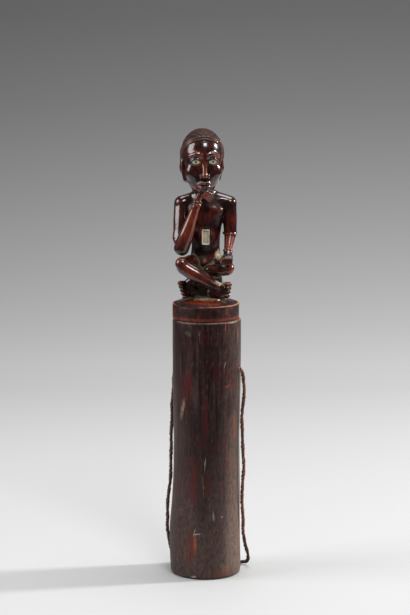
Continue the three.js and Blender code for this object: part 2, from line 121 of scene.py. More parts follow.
def lofted(name, loops):
    """A closed piece through loops of as many points each, with a flat cap at both ends."""
    count = len(loops[0])
    points = np.concatenate(loops)
    faces = quads_between([i * count for i in range(len(loops))], count)
    faces.append(tuple(range(count))[::-1])
    faces.append(tuple(range(len(points) - count, len(points))))
    return make_piece(name, points, faces)


# The cord, first: its line is the CAD model's, with the sways of a limp cord.
CORD_RADIUS = 1.5
BOX_RADIUS = 30.6
HOLE_HEIGHT = 188
HOLE_SLANT = math.radians(25)
HOLE_BEND_RADIUS = 6.8
HOLE_BEND_START = 30.4
LEFT_HOLE_BEARING = math.radians(-17)
RIGHT_HOLE_BEARING = math.radians(143)
CORD_END_RADIUS = 22.8
KNOT_RADIUS = 3.6
KNOT_GAP = 0.3


def on_hole_line(radius, bearing):
    """A point on the line of a cord hole, which runs down and out through the wall."""
    rise = (BOX_RADIUS - radius) * math.tan(HOLE_SLANT)
    return np.array([radius * math.cos(bearing), radius * math.sin(bearing), HOLE_HEIGHT + rise])


def through_hole(bearing):
    """The cord from its knot through the wall, and its bend from there to straight down."""
    points = [on_hole_line(CORD_END_RADIUS, bearing)]
    start = on_hole_line(HOLE_BEND_START, bearing)
    for heading in (HOLE_SLANT, *np.radians((45, 67, 90))):
        out = HOLE_BEND_RADIUS * (math.sin(heading) - math.sin(HOLE_SLANT))
        down = HOLE_BEND_RADIUS * (math.cos(HOLE_SLANT) - math.cos(heading))
        point = on_hole_line(HOLE_BEND_START + out, bearing)
        points.append(np.array([point[0], point[1], start[2] - down]))
    return points


# The cord outside the wall, from the left hole down, behind the foot and up to the right hole.
HANGING = [
    (33.7, -10.2, 175), (34.2, -10.1, 167), (33.7, -10, 160), (32.6, -9.8, 150), (32.1, -9.6, 142),
    (32.5, -9.6, 134), (32.7, -9.7, 125), (33.3, -9.9, 110), (34, -10, 98), (33.2, -9.8, 88),
    (32.7, -9.3, 78), (32.4, -8.2, 67), (33, -6.6, 57), (33.6, -4.4, 48), (33.5, -1.4, 39),
    (34.6, 2.6, 29.5), (35.9, 5.4, 22), (38.2, 10.6, 12.6), (38.4, 13.6, 7.4), (37, 17.2, 3.9),
    (33.8, 21, 2.4), (26.2, 28.2, 2), (14, 35.6, 2), (0, 36.8, 2), (-12, 35.2, 2), (-21, 31.2, 2.2),
    (-27.4, 26.6, 5.6), (-31.6, 21.8, 15), (-34.1, 17, 30), (-34.9, 15.5, 38), (-34.5, 14.4, 46),
    (-34.6, 13.8, 54), (-34.3, 13.6, 62), (-33.4, 13.6, 70), (-32.3, 13.7, 78), (-31.6, 14, 86),
    (-31.5, 14.2, 94), (-31.4, 14.6, 104), (-31, 15.1, 113), (-31.2, 15.5, 124), (-30.4, 16, 135),
    (-30.4, 16.6, 146), (-29.8, 17.3, 156), (-29, 18.3, 165), (-28.8, 19.1, 173),
]


CURVE_STEPS = 60


def between(t, t_a, t_b, a, b):
    return (t_b - t) / (t_b - t_a) * a + (t - t_a) / (t_b - t_a) * b


def smooth_line(points, spacing):
    """A centripetal Catmull-Rom curve through points, as points at an even spacing."""
    given = np.asarray(points, float)
    given = np.vstack([2 * given[0] - given[1], given, 2 * given[-1] - given[-2]])
    drawn = []
    for p0, p1, p2, p3 in zip(given, given[1:], given[2:], given[3:]):
        t0, t1 = 0, np.linalg.norm(p1 - p0) ** 0.5
        t2 = t1 + np.linalg.norm(p2 - p1) ** 0.5
        t3 = t2 + np.linalg.norm(p3 - p2) ** 0.5
        t = np.linspace(t1, t2, CURVE_STEPS, endpoint=False)[:, None]
        a1, a2, a3 = between(t, t0, t1, p0, p1), between(t, t1, t2, p1, p2), between(t, t2, t3, p2, p3)
        b1, b2 = between(t, t0, t2, a1, a2), between(t, t1, t3, a2, a3)
        drawn.append(between(t, t1, t2, b1, b2))
    drawn = np.vstack([*drawn, given[-2]])
    walked = np.concatenate([[0], np.cumsum(np.linalg.norm(np.diff(drawn, axis=0), axis=1))])
    even = np.linspace(0, walked[-1], round(walked[-1] / spacing) + 1)
    return np.stack([np.interp(even, walked, drawn[:, i]) for i in range(3)], axis=1), walked[-1]


def frames_along(line):
    """Two directions square to a line at each of its points, without needless turning."""
    tangents = np.gradient(line, axis=0)
    tangents /= np.linalg.norm(tangents, axis=1)[:, None]
    side = np.cross(tangents[0], (0, 0, 1))
    sides = []
    for tangent in tangents:
        side = side - side.dot(tangent) * tangent
        side /= np.linalg.norm(side)
        sides.append(side)
    sides = np.array(sides)
    return sides, np.cross(tangents, sides)


# The twist: how far it takes to go round once, and how it runs fast and slow. A strand's radius and the
# least depth of the valley between two strands are shares of the cord's radius.
STRANDS = 3
STRAND_RADIUS = 0.475
VALLEY = 0.01
FULLNESS = 1.11
TWIST_LENGTH = 9.6
TWIST_SWAYS = ((0.8, 37), (0.75, 14.3))
SECTION_SIDES = 24
LAY_SPACING = 0.42
END_SIZE = 0.35


def twisted_cord(name, line, radius, seed):
    """Three twisted strands along a line as one closed skin, a little uneven in thickness."""
    sides, ups = frames_along(line)
    walked = np.concatenate([[0], np.cumsum(np.linalg.norm(np.diff(line, axis=0), axis=1))])
    rng = np.random.default_rng(seed)
    waves = [(rng.uniform(4, 24), rng.uniform(0, TAU), rng.uniform(0.02, 0.045)) for _ in range(8)]
    uneven = sum(depth * np.sin(TAU * walked / wave + phase) for wave, phase, depth in waves)
    size = radius * (FULLNESS + uneven)
    ends = np.minimum(walked, walked[-1] - walked) / radius
    size = size * np.sqrt(np.clip(END_SIZE + ends, 0, 1))
    turns = TAU * walked / TWIST_LENGTH
    for sway, wave in TWIST_SWAYS:
        turns = turns + sway * np.sin(TAU * walked / wave)
    around = np.arange(SECTION_SIDES) * TAU / SECTION_SIDES
    offset = 1 - STRAND_RADIUS
    half = math.pi / STRANDS
    loops, crowns = [], []
    for point, side, up, scale, turn in zip(line, sides, ups, size, turns):
        angle = np.abs((around - turn + half) % (2 * half) - half)
        across = STRAND_RADIUS**2 - (offset * np.sin(angle)) ** 2
        reach = offset * np.cos(angle) + np.sqrt(np.clip(across, VALLEY, None))
        out = scale * reach
        loops.append(point + np.outer(out * np.cos(around), side) + np.outer(out * np.sin(around), up))
        crowns.append(reach)
    piece = lofted(name, loops)
    keep_values(piece, "crown", np.concatenate(crowns))
    return piece


LOWEST_LINE = 2.0
cord_points = [*through_hole(LEFT_HOLE_BEARING), *HANGING, *through_hole(RIGHT_HOLE_BEARING)[::-1]]
cord_line, cord_length = smooth_line(cord_points, LAY_SPACING)
cord_line[:, 2] = np.maximum(cord_line[:, 2], LOWEST_LINE)
cord = twisted_cord("cord_twisted", cord_line, CORD_RADIUS, seed=4)
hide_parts("carrying_cord")


# The knot's line is a trefoil, left open where its two ends leave it.
KNOT_OPENING = 0.25
KNOT_SIZE = 0.72
KNOT_DEPTH = 0.95
KNOT_CORD = 0.92


def make_knot(name, bearing, seed):
    """An overhand knot in the cord's end, drawn tight into a ball against the inside of the wall."""
    set_back = (KNOT_RADIUS + KNOT_GAP) * math.cos(HOLE_SLANT)
    centre = on_hole_line(CORD_END_RADIUS - set_back, bearing)
    along = on_hole_line(CORD_END_RADIUS, bearing) - centre
    along /= np.linalg.norm(along)
    side = np.cross(along, (0, 0, 1))
    side /= np.linalg.norm(side)
    up = np.cross(side, along)
    angle = np.linspace(KNOT_OPENING, TAU - KNOT_OPENING, 90)
    across = (np.sin(angle) + 2 * np.sin(2 * angle)) * KNOT_SIZE
    rise = (np.cos(angle) - 2 * np.cos(2 * angle)) * KNOT_SIZE
    depth = -np.sin(3 * angle) * KNOT_DEPTH
    points = centre + np.outer(across, side) + np.outer(rise, up) + np.outer(depth, along)
    line, _ = smooth_line(points[::3], LAY_SPACING)
    return twisted_cord(name, line, CORD_RADIUS * KNOT_CORD, seed)


cord_knots = [
    make_knot("knot_left", LEFT_HOLE_BEARING, 7),
    make_knot("knot_right", RIGHT_HOLE_BEARING, 8),
]
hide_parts("cord_knot_left")
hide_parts("cord_knot_right")
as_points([tuple(p * MM) for p in cord_line[::4]] + [tuple(cord_line[-1] * MM)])


# Carving. A shape is a box that holds it and a distance to its surface, negative inside.
Shape = namedtuple("Shape", "low high distance")


def smooth_min(a, b, blend):
    """The smaller of two distances, rounded where they meet."""
    if blend <= 0:
        return np.minimum(a, b)
    overlap = np.maximum(blend - np.abs(a - b), 0) / blend
    return np.minimum(a, b) - overlap * overlap * blend / 4


def rotation(turn=0, nod=0, lean=0):
    """Turns in degrees about Z, X and Y, as a matrix: the lean first, then the nod, then the turn."""
    z, x, y = (math.radians(v) for v in (turn, nod, lean))
    about_z = np.array([[math.cos(z), -math.sin(z), 0], [math.sin(z), math.cos(z), 0], [0, 0, 1]])
    about_x = np.array([[1, 0, 0], [0, math.cos(x), -math.sin(x)], [0, math.sin(x), math.cos(x)]])
    about_y = np.array([[math.cos(y), 0, math.sin(y)], [0, 1, 0], [-math.sin(y), 0, math.cos(y)]])
    return about_z @ about_x @ about_y


def placed(shape, matrix, centre):
    """A shape turned about the origin and moved to a centre."""
    low, high = np.array(shape.low, float), np.array(shape.high, float)
    corners = (low + np.array(list(np.ndindex(2, 2, 2))) * (high - low)) @ matrix.T + centre
    back = matrix.T

    def distance(x, y, z):
        dx, dy, dz = x - centre[0], y - centre[1], z - centre[2]
        return shape.distance(*(back[i, 0] * dx + back[i, 1] * dy + back[i, 2] * dz for i in range(3)))

    return Shape(corners.min(0), corners.max(0), distance)


def egg(centre, radii, **turned_by):
    """An egg-shaped mass with a radius along each axis."""
    radii = np.array(radii, float)

    def distance(x, y, z):
        near = np.sqrt((x / radii[0]) ** 2 + (y / radii[1]) ** 2 + (z / radii[2]) ** 2)
        steep = np.sqrt((x / radii[0] ** 2) ** 2 + (y / radii[1] ** 2) ** 2 + (z / radii[2] ** 2) ** 2)
        return near * (near - 1) / np.maximum(steep, 1e-6)

    return placed(Shape(-radii, radii, distance), rotation(**turned_by), np.array(centre, float))


SWELL_LENGTH = 0.28


def limb(start, end, start_radius, end_radius, swell=0.0, swell_at=0.5, flat=(1, 1, 1)):
    """A rounded limb that tapers from one radius to the other and may swell between its ends.

    flat divides the space along each axis, so that a limb can be flatter than round."""
    a, b, flat = (np.array(v, float) for v in (start, end, flat))
    span = (b - a) / flat
    reach = max(start_radius, end_radius) + max(swell, 0)
    low, high = np.minimum(a, b) - reach * flat, np.maximum(a, b) + reach * flat

    def distance(x, y, z):
        dx, dy, dz = (x - a[0]) / flat[0], (y - a[1]) / flat[1], (z - a[2]) / flat[2]
        t = np.clip((dx * span[0] + dy * span[1] + dz * span[2]) / span.dot(span), 0, 1)
        off = np.sqrt((dx - t * span[0]) ** 2 + (dy - t * span[1]) ** 2 + (dz - t * span[2]) ** 2)
        bulge = swell * np.exp(-(((t - swell_at) / SWELL_LENGTH) ** 2))
        return (off - (start_radius + (end_radius - start_radius) * t + bulge)) * flat.min()

    return Shape(low, high, distance)


def chain(points, radii):
    """A limb through several points, as shapes from point to point."""
    return [limb(a, b, ra, rb) for a, b, ra, rb in zip(points, points[1:], radii, radii[1:])]


def ring(centre, along, radius, thickness):
    """A ring round a limb, such as a bracelet."""
    along = np.array(along, float) / np.linalg.norm(along)
    centre = np.array(centre, float)
    reach = radius + thickness

    def distance(x, y, z):
        dx, dy, dz = x - centre[0], y - centre[1], z - centre[2]
        height = dx * along[0] + dy * along[1] + dz * along[2]
        out = np.sqrt(np.maximum(dx**2 + dy**2 + dz**2 - height**2, 0))
        return np.sqrt(np.maximum(out - radius, 0) ** 2 + height**2) - thickness

    return Shape(centre - reach, centre + reach, distance)


def turned(profile, centre_y, share):
    """A mass given by the half-width of its front view at each height, and its depth for its width."""
    heights = np.array([z for _, z in profile], float)
    widths = np.array([w for w, _ in profile], float)
    fine = np.arange(heights[0], heights[-1] + 0.25, 0.25)
    kernel = np.hanning(17) / np.hanning(17).sum()
    padded = np.pad(np.interp(fine, heights, widths), 8, mode="edge")
    smooth = np.convolve(padded, kernel, mode="valid")
    slope = np.gradient(smooth, fine)
    widest = widths.max()
    low = np.array([-widest, centre_y - widest * share, heights[0]])
    high = np.array([widest, centre_y + widest * share, heights[-1]])

    def distance(x, y, z):
        out = np.sqrt(x**2 + ((y - centre_y) / share) ** 2)
        steepness = np.minimum(np.abs(np.interp(z, fine, slope)), 1.5)
        side = (out - np.interp(z, fine, smooth)) * share**0.5 / np.sqrt(1 + steepness**2)
        ends = np.maximum(heights[0] - z, z - heights[-1])
        return np.maximum(side, ends + 0 * side)

    return Shape(low, high, distance)


SCULPT_LOW = np.array([-31.0, -31.0, 214.0])
SCULPT_HIGH = np.array([31, 31, 401])
SCULPT_STEP = 0.42
SCULPT_MARGIN = 5.0


class Block:
    """A block of wood being carved, as a grid of distances to its surface.

    Its placing, if it has one, turns and moves each shape that it is given."""

    placing = None

    def __init__(self):
        counts = np.ceil((SCULPT_HIGH - SCULPT_LOW) / SCULPT_STEP).astype(int) + 1
        self.field = np.full(counts, 2 * SCULPT_MARGIN, np.float32)

    def near(self, shape):
        """The part of the grid round a shape, and the distances of its points to the shape."""
        if self.placing:
            shape = placed(shape, *self.placing)
        low, high = np.array(shape.low, float), np.array(shape.high, float)
        first = np.floor((low - SCULPT_MARGIN - SCULPT_LOW) / SCULPT_STEP).astype(int)
        last = np.ceil((high + SCULPT_MARGIN - SCULPT_LOW) / SCULPT_STEP).astype(int) + 1
        first, last = np.maximum(first, 0), np.minimum(last, self.field.shape)
        axes = [SCULPT_LOW[i] + SCULPT_STEP * np.arange(first[i], last[i]) for i in range(3)]
        part = tuple(slice(a, b) for a, b in zip(first, last))
        return part, shape.distance(*np.meshgrid(*axes, indexing="ij", sparse=True))

    def add(self, *shapes, blend=1.0):
        for part, distance in map(self.near, shapes):
            self.field[part] = smooth_min(self.field[part], distance, blend)

    def cut(self, *shapes, blend=0.5):
        for part, distance in map(self.near, shapes):
            self.field[part] = -smooth_min(-self.field[part], distance, blend)

    def groove(self, *shapes, depth=0.5):
        """Cuts a shape only to a depth under the surface, as an incised line."""
        for part, distance in map(self.near, shapes):
            self.field[part] += np.minimum(np.clip(-distance, 0, None), depth)

    def merge(self, other, blend):
        """Joins another block's wood to this one's."""
        self.field = smooth_min(self.field, other.field, blend)


def sampled(field, places):
    """The values of a grid at places given in grid steps, between its points."""
    top = np.array(field.shape) - 2
    base = np.clip(np.floor(places).astype(int), 0, top)
    part = np.clip(places - base, 0, 1)
    total = np.zeros(len(places))
    for corner in np.ndindex(2, 2, 2):
        share = np.prod(np.where(corner, part, 1 - part), axis=1)
        i, j, k = (base + corner).T
        total += share * field[i, j, k]
    return total


def skin_of(field):
    """The surface where a grid crosses zero, as points in grid steps and four-sided faces."""
    inside = field < 0
    cells = tuple(n - 1 for n in field.shape)
    count = np.zeros(cells, np.int8)
    for i, j, k in np.ndindex(2, 2, 2):
        count += inside[i : i + cells[0], j : j + cells[1], k : k + cells[2]]
    crossed = np.argwhere((count > 0) & (count < 8))
    number = np.full(cells, -1, np.int32)
    number[tuple(crossed.T)] = np.arange(len(crossed))

    total = np.zeros((len(crossed), 3))
    hits = np.zeros(len(crossed))
    for axis in range(3):
        for corner in np.ndindex(2, 2, 2):
            if corner[axis]:
                continue
            start = crossed + corner
            end = start.copy()
            end[:, axis] += 1
            a, b = field[tuple(start.T)], field[tuple(end.T)]
            cut = (a < 0) != (b < 0)
            share = a[cut] / (a[cut] - b[cut])
            total[cut] += start[cut]
            total[cut, axis] += share
            hits[cut] += 1
    points = total / hits[:, None]

    faces = []
    for axis in range(3):
        u, v = (axis + 1) % 3, (axis + 2) % 3
        first = np.take(inside, range(field.shape[axis] - 1), axis)
        second = np.take(inside, range(1, field.shape[axis]), axis)
        edges = np.argwhere(first != second)
        edges = edges[(edges[:, u] > 0) & (edges[:, v] > 0)]
        edges = edges[(edges[:, u] < cells[u]) & (edges[:, v] < cells[v])]
        around = []
        for du, dv in ((-1, -1), (0, -1), (0, 0), (-1, 0)):
            cell = edges.copy()
            cell[:, u] += du
            cell[:, v] += dv
            around.append(number[tuple(cell.T)])
        quads = np.stack(around, axis=1)
        outward = inside[tuple(edges.T)]
        faces.append(np.where(outward[:, None], quads, quads[:, ::-1]))
    return points, np.concatenate(faces)


def settled(field, points):
    """Points moved along the slope of a grid on to where it is zero."""
    for _ in range(3):
        value = sampled(field, points)
        slope = np.empty_like(points)
        for axis in range(3):
            step = np.zeros(3)
            step[axis] = 0.5
            slope[:, axis] = sampled(field, points + step) - sampled(field, points - step)
        move = value[:, None] * slope / np.maximum((slope**2).sum(1), 0.02)[:, None]
        points = points - np.clip(move, -0.3, 0.3)
    return points


def blurred(field, radius):
    """A grid averaged three times over a cube of a radius in steps."""
    made = field
    for _ in range(3):
        for axis in range(3):
            margins = [(radius + 1, radius) if i == axis else (0, 0) for i in range(3)]
            total = np.cumsum(np.pad(made, margins, mode="edge"), axis=axis, dtype=np.float64)
            width = 2 * radius + 1
            high = np.take(total, range(width, total.shape[axis]), axis)
            low = np.take(total, range(0, total.shape[axis] - width), axis)
            made = ((high - low) / width).astype(np.float32)
    return made


# The lid: a disc with a worn edge, and the stopper under it.
REST_GAP = 0.5
BOX_HEIGHT = 231
LID_UNDERSIDE = BOX_HEIGHT + REST_GAP
LID_TOP = LID_UNDERSIDE + 15.2
LID_RADIUS = 29.65
LID_CROWN = 3
CROWN_REACH = 27.8
WORN_BEARING = math.radians(236)
BEVEL_WIDTH = 3.2
BEVEL_SLOPE = (0.36, 0.93)
PLUG_RADIUS = 22.6
PLUG_DEPTH = 14
PLUG_TAPER = 0.35
PLUG_ROUNDING = 1.6

figure = Block()


def lid_distance(x, y, z):
    """The disc is carved by hand: its top edge is worn lower towards the front, and it isn't quite round."""
    out = np.sqrt(x**2 + y**2)
    bearing = np.arctan2(y, x)
    worn = np.clip(np.cos(bearing - WORN_BEARING), 0, 1) ** 3
    uneven = 0.12 * np.sin(5 * bearing + 1) + 0.1 * np.sin(9 * bearing)
    radius = LID_RADIUS - 0.15 + uneven - 0.5 * worn * np.clip((z - 240) / 6, 0, 1)
    crown = LID_TOP + LID_CROWN * (1 - np.minimum(out / CROWN_REACH, 1.2) ** 2)
    top = z - (crown - 0.4 * np.sin(3 * bearing + 2) * out / LID_RADIUS)
    outward = out - (radius - BEVEL_WIDTH + 0.7 * np.sin(2 * bearing))
    bevel = outward * BEVEL_SLOPE[0] + (z - (LID_TOP - 0.6)) * BEVEL_SLOPE[1]
    bevel = bevel + 1.5 * worn * np.clip((out - 22) / 6, 0, 1)
    disc = np.maximum(out - radius, LID_UNDERSIDE - z)
    disc = -smooth_min(-disc, -top, 0.6)
    return -smooth_min(-disc, -bevel, 0.5)


def plug_distance(x, y, z):
    out = np.sqrt(x**2 + y**2)
    side = out - (PLUG_RADIUS - 0.05 - PLUG_TAPER * np.clip((LID_UNDERSIDE - z) / PLUG_DEPTH, 0, 1))
    under = (LID_UNDERSIDE - PLUG_DEPTH) - z
    return -smooth_min(-np.maximum(side, z - LID_UNDERSIDE - 1), -(under + 0 * side), PLUG_ROUNDING)


figure.add(
    Shape((-30, -30, 230), (30, 30, 250), lid_distance),
    Shape((-23, -23, 216), (23, 23, 232), plug_distance),
    blend=0.3,
)


# The trunk.
SEAT = [(16.4, 243), (15.8, 252), (14.8, 262), (15.2, 272), (13.5, 280), (6, 284)]
TRUNK = [
    (10, 270), (14.6, 274), (14.9, 281), (13.1, 288), (12.4, 294), (12.7, 303),
    (14, 312), (16.3, 321), (16.8, 329), (13.8, 336.5), (7, 342),
]

body = Block()
body.add(turned(SEAT, 8, 0.86))
body.add(turned(TRUNK, 5, 0.74), blend=4)
body.add(egg((0.2, 1.6, 303.5), (10.6, 9.8, 14.5)), blend=3)
body.add(egg((-7.8, 2.4, 326), (9.2, 9.2, 8.2)), egg((7.8, 2.4, 326), (9.2, 9.2, 8.2)), blend=1.6)
for side in (-1, 1):
    body.add(limb((side * 8.5, 5.5, 337), (side * 21, 4.5, 333), 6.2, 6.2), blend=4)
    body.add(egg((side * 8, 11.5, 326), (6.4, 4.2, 9), turn=side * 12, lean=side * -8), blend=2.5)
    body.add(egg((side * 7.6, 15.5, 259), (8.4, 8.6, 11)), blend=3)
body.add(limb((-1, 5.6, 333), (-2.6, 1.6, 350), 9.6, 8.6), blend=4)
spine = [limb((0, 18.6, 334), (0, 17.2, 300), 2, 1.8), limb((0, 17.2, 300), (0, 16.6, 276), 1.8, 1.6)]
body.cut(*spine, blend=2)
body.cut(limb((0, 26, 268), (0, 27, 250), 2.6, 3.2), blend=3)
for side in (-1, 1):
    body.groove(limb((side * 3, -9.4, 341), (side * 15, -3, 337.5), 1, 1), depth=0.5)
    fold = [(side * 3, -7.4, 318.6), (side * 8.6, -7, 317.8), (side * 13.6, -3.6, 321.6)]
    body.groove(*chain(fold, [1, 1.2, 1]), depth=0.4)
body.groove(limb((-2.4, -8.6, 335), (-0.9, -7, 321.5), 0.7, 0.5), depth=0.55)
body.groove(limb((1.6, -8.6, 335), (0.1, -7, 321.5), 0.7, 0.5), depth=0.55)
body.add(egg((-1.5, -5.2, 280.4), (2, 2.2, 2.6), nod=20), blend=2)


# The legs are crossed, the right shin in front, and each foot stands on its outer edge.
RIGHT_KNEE = np.array([-20.6, -12, 280.8])
LEFT_KNEE = np.array([18.9, -9.5, 275.6])


def toes(top, bottom, outward):
    """The five toes of a foot, stacked from the big toe down, each with its nail."""
    top, bottom, outward = (np.array(v, float) for v in (top, bottom, outward))
    made, nails = [], []
    for i in range(5):
        root = top + (bottom - top) * i / 4
        tip = root + outward * (1.3 - 0.07 * i)
        radius = 2.15 - 0.13 * i
        made.append(limb(root, tip, radius * 0.85, radius))
        nails.append(egg(tip + outward * 0.62, (radius * 0.55,) * 3))
    return made, nails


legs = Block()
legs.add(limb((7.5, 6, 280), (18.8, -9, 278.6), 8, 5.2, swell=0.8, swell_at=0.4))
legs.add(limb(LEFT_KNEE, (4, -5.5, 274), 5.6, 5.2, swell=0.5), blend=1.5)
legs.add(limb((4, -5.5, 274), (-14.5, -1.5, 262.6), 4.8, 4.2), blend=2)
legs.add(egg(LEFT_KNEE + (1.6, -1.4, 1), (4.4, 4.6, 4.6)), blend=2)
legs.add(limb((-8, -1.5, 256), (-12.8, -2, 257), 5, 7.4, flat=(1, 0.6, 1)), blend=1.4)
left_toes, left_nails = toes((-18.6, -3, 263), (-16, -3.6, 250.6), (-3.2, -3, 0))
legs.add(*left_toes, blend=0.25)

right_leg = Block()
right_leg.add(limb((-7.5, 6, 279), RIGHT_KNEE, 8.2, 5.6, swell=0.8, swell_at=0.4))
right_leg.add(egg(RIGHT_KNEE + (-0.6, -1.4, 0.4), (5.2, 5, 5.4)), blend=2)
right_leg.add(limb((-18.6, -12.6, 277.6), (9.4, -16.2, 261.2), 6.6, 4.6, swell=0.9, swell_at=0.4), blend=1.5)
right_leg.add(egg((10, -19.4, 261.8), (2, 1.8, 2.2)), blend=1.6)
right_leg.add(limb((6, -14.6, 255.4), (12, -14.6, 256.6), 5, 7.6, flat=(1, 0.55, 1)), blend=1.6)
right_toes, right_nails = toes((17, -14.6, 263.4), (16.2, -15, 250.2), (3, -2.6, 0))
right_leg.add(*right_toes, blend=0.25)


# The arms. The right props the chin, and the left lies on the knee.
RIGHT_ELBOW = np.array([-21.6, -8.8, 293.6])
RIGHT_WRIST = np.array([-8.6, -16.4, 331])
LEFT_ELBOW = np.array([21.7, 3, 306])
LEFT_WRIST = np.array([19.4, -7.6, 291])

arms = Block()
arms.add(limb((-20.9, 4.5, 332.2), (-22.2, -1, 303), 6.9, 6.4, swell=0.3))
arms.add(limb((-22.2, -1, 303), RIGHT_ELBOW, 6.2, 5.2), blend=3)
arms.cut(
    Shape((-32, -14, 306), (-16, 6, 328),
          lambda x, y, z: 6.4 + 0.645 * (x + 21.55) + 0.746 * (y - 1.75) - 0.17 * (z - 317.6)),
    blend=1.2,
)
arms.add(limb((20.9, 4.5, 332.2), LEFT_ELBOW, 6.2, 5.6, swell=0.4))
arms.add(limb(LEFT_ELBOW, LEFT_WRIST, 4.7, 3.4, swell=0.3, swell_at=0.3), blend=1.5)
arms.add(ring((21.2, 2.9, 306.4), (0, -0.1, 1), 5.2, 1.2), blend=0.3)
arms.add(ring(LEFT_ELBOW + (LEFT_WRIST - LEFT_ELBOW) * 0.97, LEFT_WRIST - LEFT_ELBOW, 3.6, 0.8), blend=0.2)
arms.add(limb((19.6, -8.6, 290.8), (19.2, -12, 287.6), 3.4, 3.9, flat=(1.05, 0.9, 0.9)), blend=1.2)
# The thumb and the fingers lie over the knee, the outer ones a little lower.
for i, lower in enumerate((1.2, 0, 0.1, 0.3, 0.9)):
    knuckle = (16.6 + 1.45 * i, -13.2, 288.2 - 0.5 * lower)
    joint = (15 + 1.85 * i, -16.9, 285.4 - 0.3 * lower)
    tip = (13.4 + 2.25 * i, -17.4, 280.9 + 0.9 * lower)
    arms.add(*chain([knuckle, joint, tip], [1.35, 1.35, 1.05]), blend=0.25)

forearm = Block()
forearm.add(limb(RIGHT_ELBOW + (0.4, 0, 0.6), RIGHT_WRIST, 6.5, 3.7, swell=0.8, swell_at=0.3))
forearm.add(limb(RIGHT_WRIST, (-7.4, -17, 335.4), 3.6, 3.4), blend=1)
along = np.array((1.3, -0.6, 4.6))
forearm.add(ring((-7.9, -16.8, 333.6), along, 3.5, 0.95), blend=0.2)
forearm.add(ring((-7.3, -17, 335.9), along, 3.3, 0.95), blend=0.2)
forearm.add(limb((-6.7, -17.4, 337), (-5.1, -18.2, 341.4), 2.8, 2.9), blend=0.6)
forearm.add(limb((-7.9, -18.6, 338), (-5.8, -19.8, 342.2), 1.8, 1.6), blend=0.3)
# The fingers fold over from under the chin, down towards the figure's left.
for i in range(4):
    knuckle = (-2.9 + 1.3 * i, -20.2 + 0.3 * i, 340.8 + 1.35 * i)
    joint = (0.6 + 1.2 * i, -21.6 + 0.35 * i, 338.8 + 1.3 * i)
    tip = (3 + 1.15 * i, -19 + 0.4 * i, 336 + 1.25 * i)
    forearm.add(*chain([knuckle, joint, tip], [1.1, 1.15, 1]), blend=0.1)


# The head is made about its own centre and is turned a little to the figure's left. The face is a plain,
# calm one on even proportions: the eyes half way up, the nose and mouth dividing what is below.
HEAD_CENTRE = np.array([-3.1, -2, 370])
HEAD_TURN = rotation(turn=7)
SKULL = egg((0, 0.5, 7), (17.9, 20.4, 21.2))
HAIRLINE_TILT = math.radians(22)
BAND_WIDTH = 3.6
BAND_RISE = 1.6
HAIR_RISE = 0.8
LATTICE_SPACING = 3.1
LATTICE_WIDTH = 0.42
LATTICE_DEPTH = 0.45
LATTICE_LOWEST = 20.5


def hairline_distance(x, y, z):
    """How far a point is above the hairline: level over the forehead, and down before each ear."""
    behind = y - 0.5
    above = (z - 12.5) * math.cos(HAIRLINE_TILT) + (y - 0.5) * math.sin(HAIRLINE_TILT)
    arch = -0.011 * x**2
    return -smooth_min(-behind, -(above - arch), 9)


def hair_distance(x, y, z):
    """The hair as a cap: a raised double band along the hairline, and a lattice of cuts on the crown."""
    above = hairline_distance(x, y, z)
    band = np.clip(above / 0.5, 0, 1) * np.clip((BAND_WIDTH - above) / 0.5 + 0.5, 0, 1)
    channel = np.exp(-(((above - BAND_WIDTH * 0.52) / 0.5) ** 2))
    cap = np.clip((above - BAND_WIDTH) / 0.5, 0, 1)
    crown = np.clip((z - LATTICE_LOWEST) / 2.5, 0, 1)
    lattice = 0
    for across in (x * 0.8 + y * 0.6, x * 0.8 - y * 0.6):
        line = np.abs(across / LATTICE_SPACING % 1 - 0.5) * LATTICE_SPACING
        lattice = lattice + np.exp(-((line / LATTICE_WIDTH) ** 2))
    lattice = lattice * crown
    combed = 0.16 * np.sin(x * 2.6 + 0.4 * np.sin(z)) * (1 - crown)
    hair = HAIR_RISE - LATTICE_DEPTH * np.minimum(lattice, 1) + combed
    rise = band * (BAND_RISE - 0.75 * channel) + cap * hair
    return SKULL.distance(x, y, z) - rise + 3 * np.clip(-above, 0, 1)


head = Block()
head.placing = (HEAD_TURN, HEAD_CENTRE)
head.add(SKULL)
head.add(egg((0, -4.6, -7), (15.4, 14.4, 22.2)), blend=3)
head.add(egg((0, -12.6, -22), (6.2, 5.8, 6)), blend=3)
for side in (-1, 1):
    head.add(egg((side * 9.4, -10.6, -8), (6.2, 5.8, 7)), blend=3)
    head.cut(egg((side * 7.6, -21.6, 1.2), (6.4, 4.6, 4.8), turn=side * 15), blend=2.5)
    head.add(egg((side * 7.5, -13.4, 0.6), (5.5, 4.7, 4.2), turn=side * 15), blend=0.8)
    brow = [(side * 2.4, -18.9, 6), (side * 7.4, -17.9, 7.6), (side * 12.6, -14.2, 5.8)]
    head.add(*chain(brow, [1.1, 1.3, 0.9]), blend=2.4)
head.add(limb((0, -17.4, 3), (0, -20.4, -10.6), 1.5, 2.2), blend=1.4)
head.add(egg((0, -20.2, -11.2), (2.5, 2.4, 2.2)), blend=0.8)
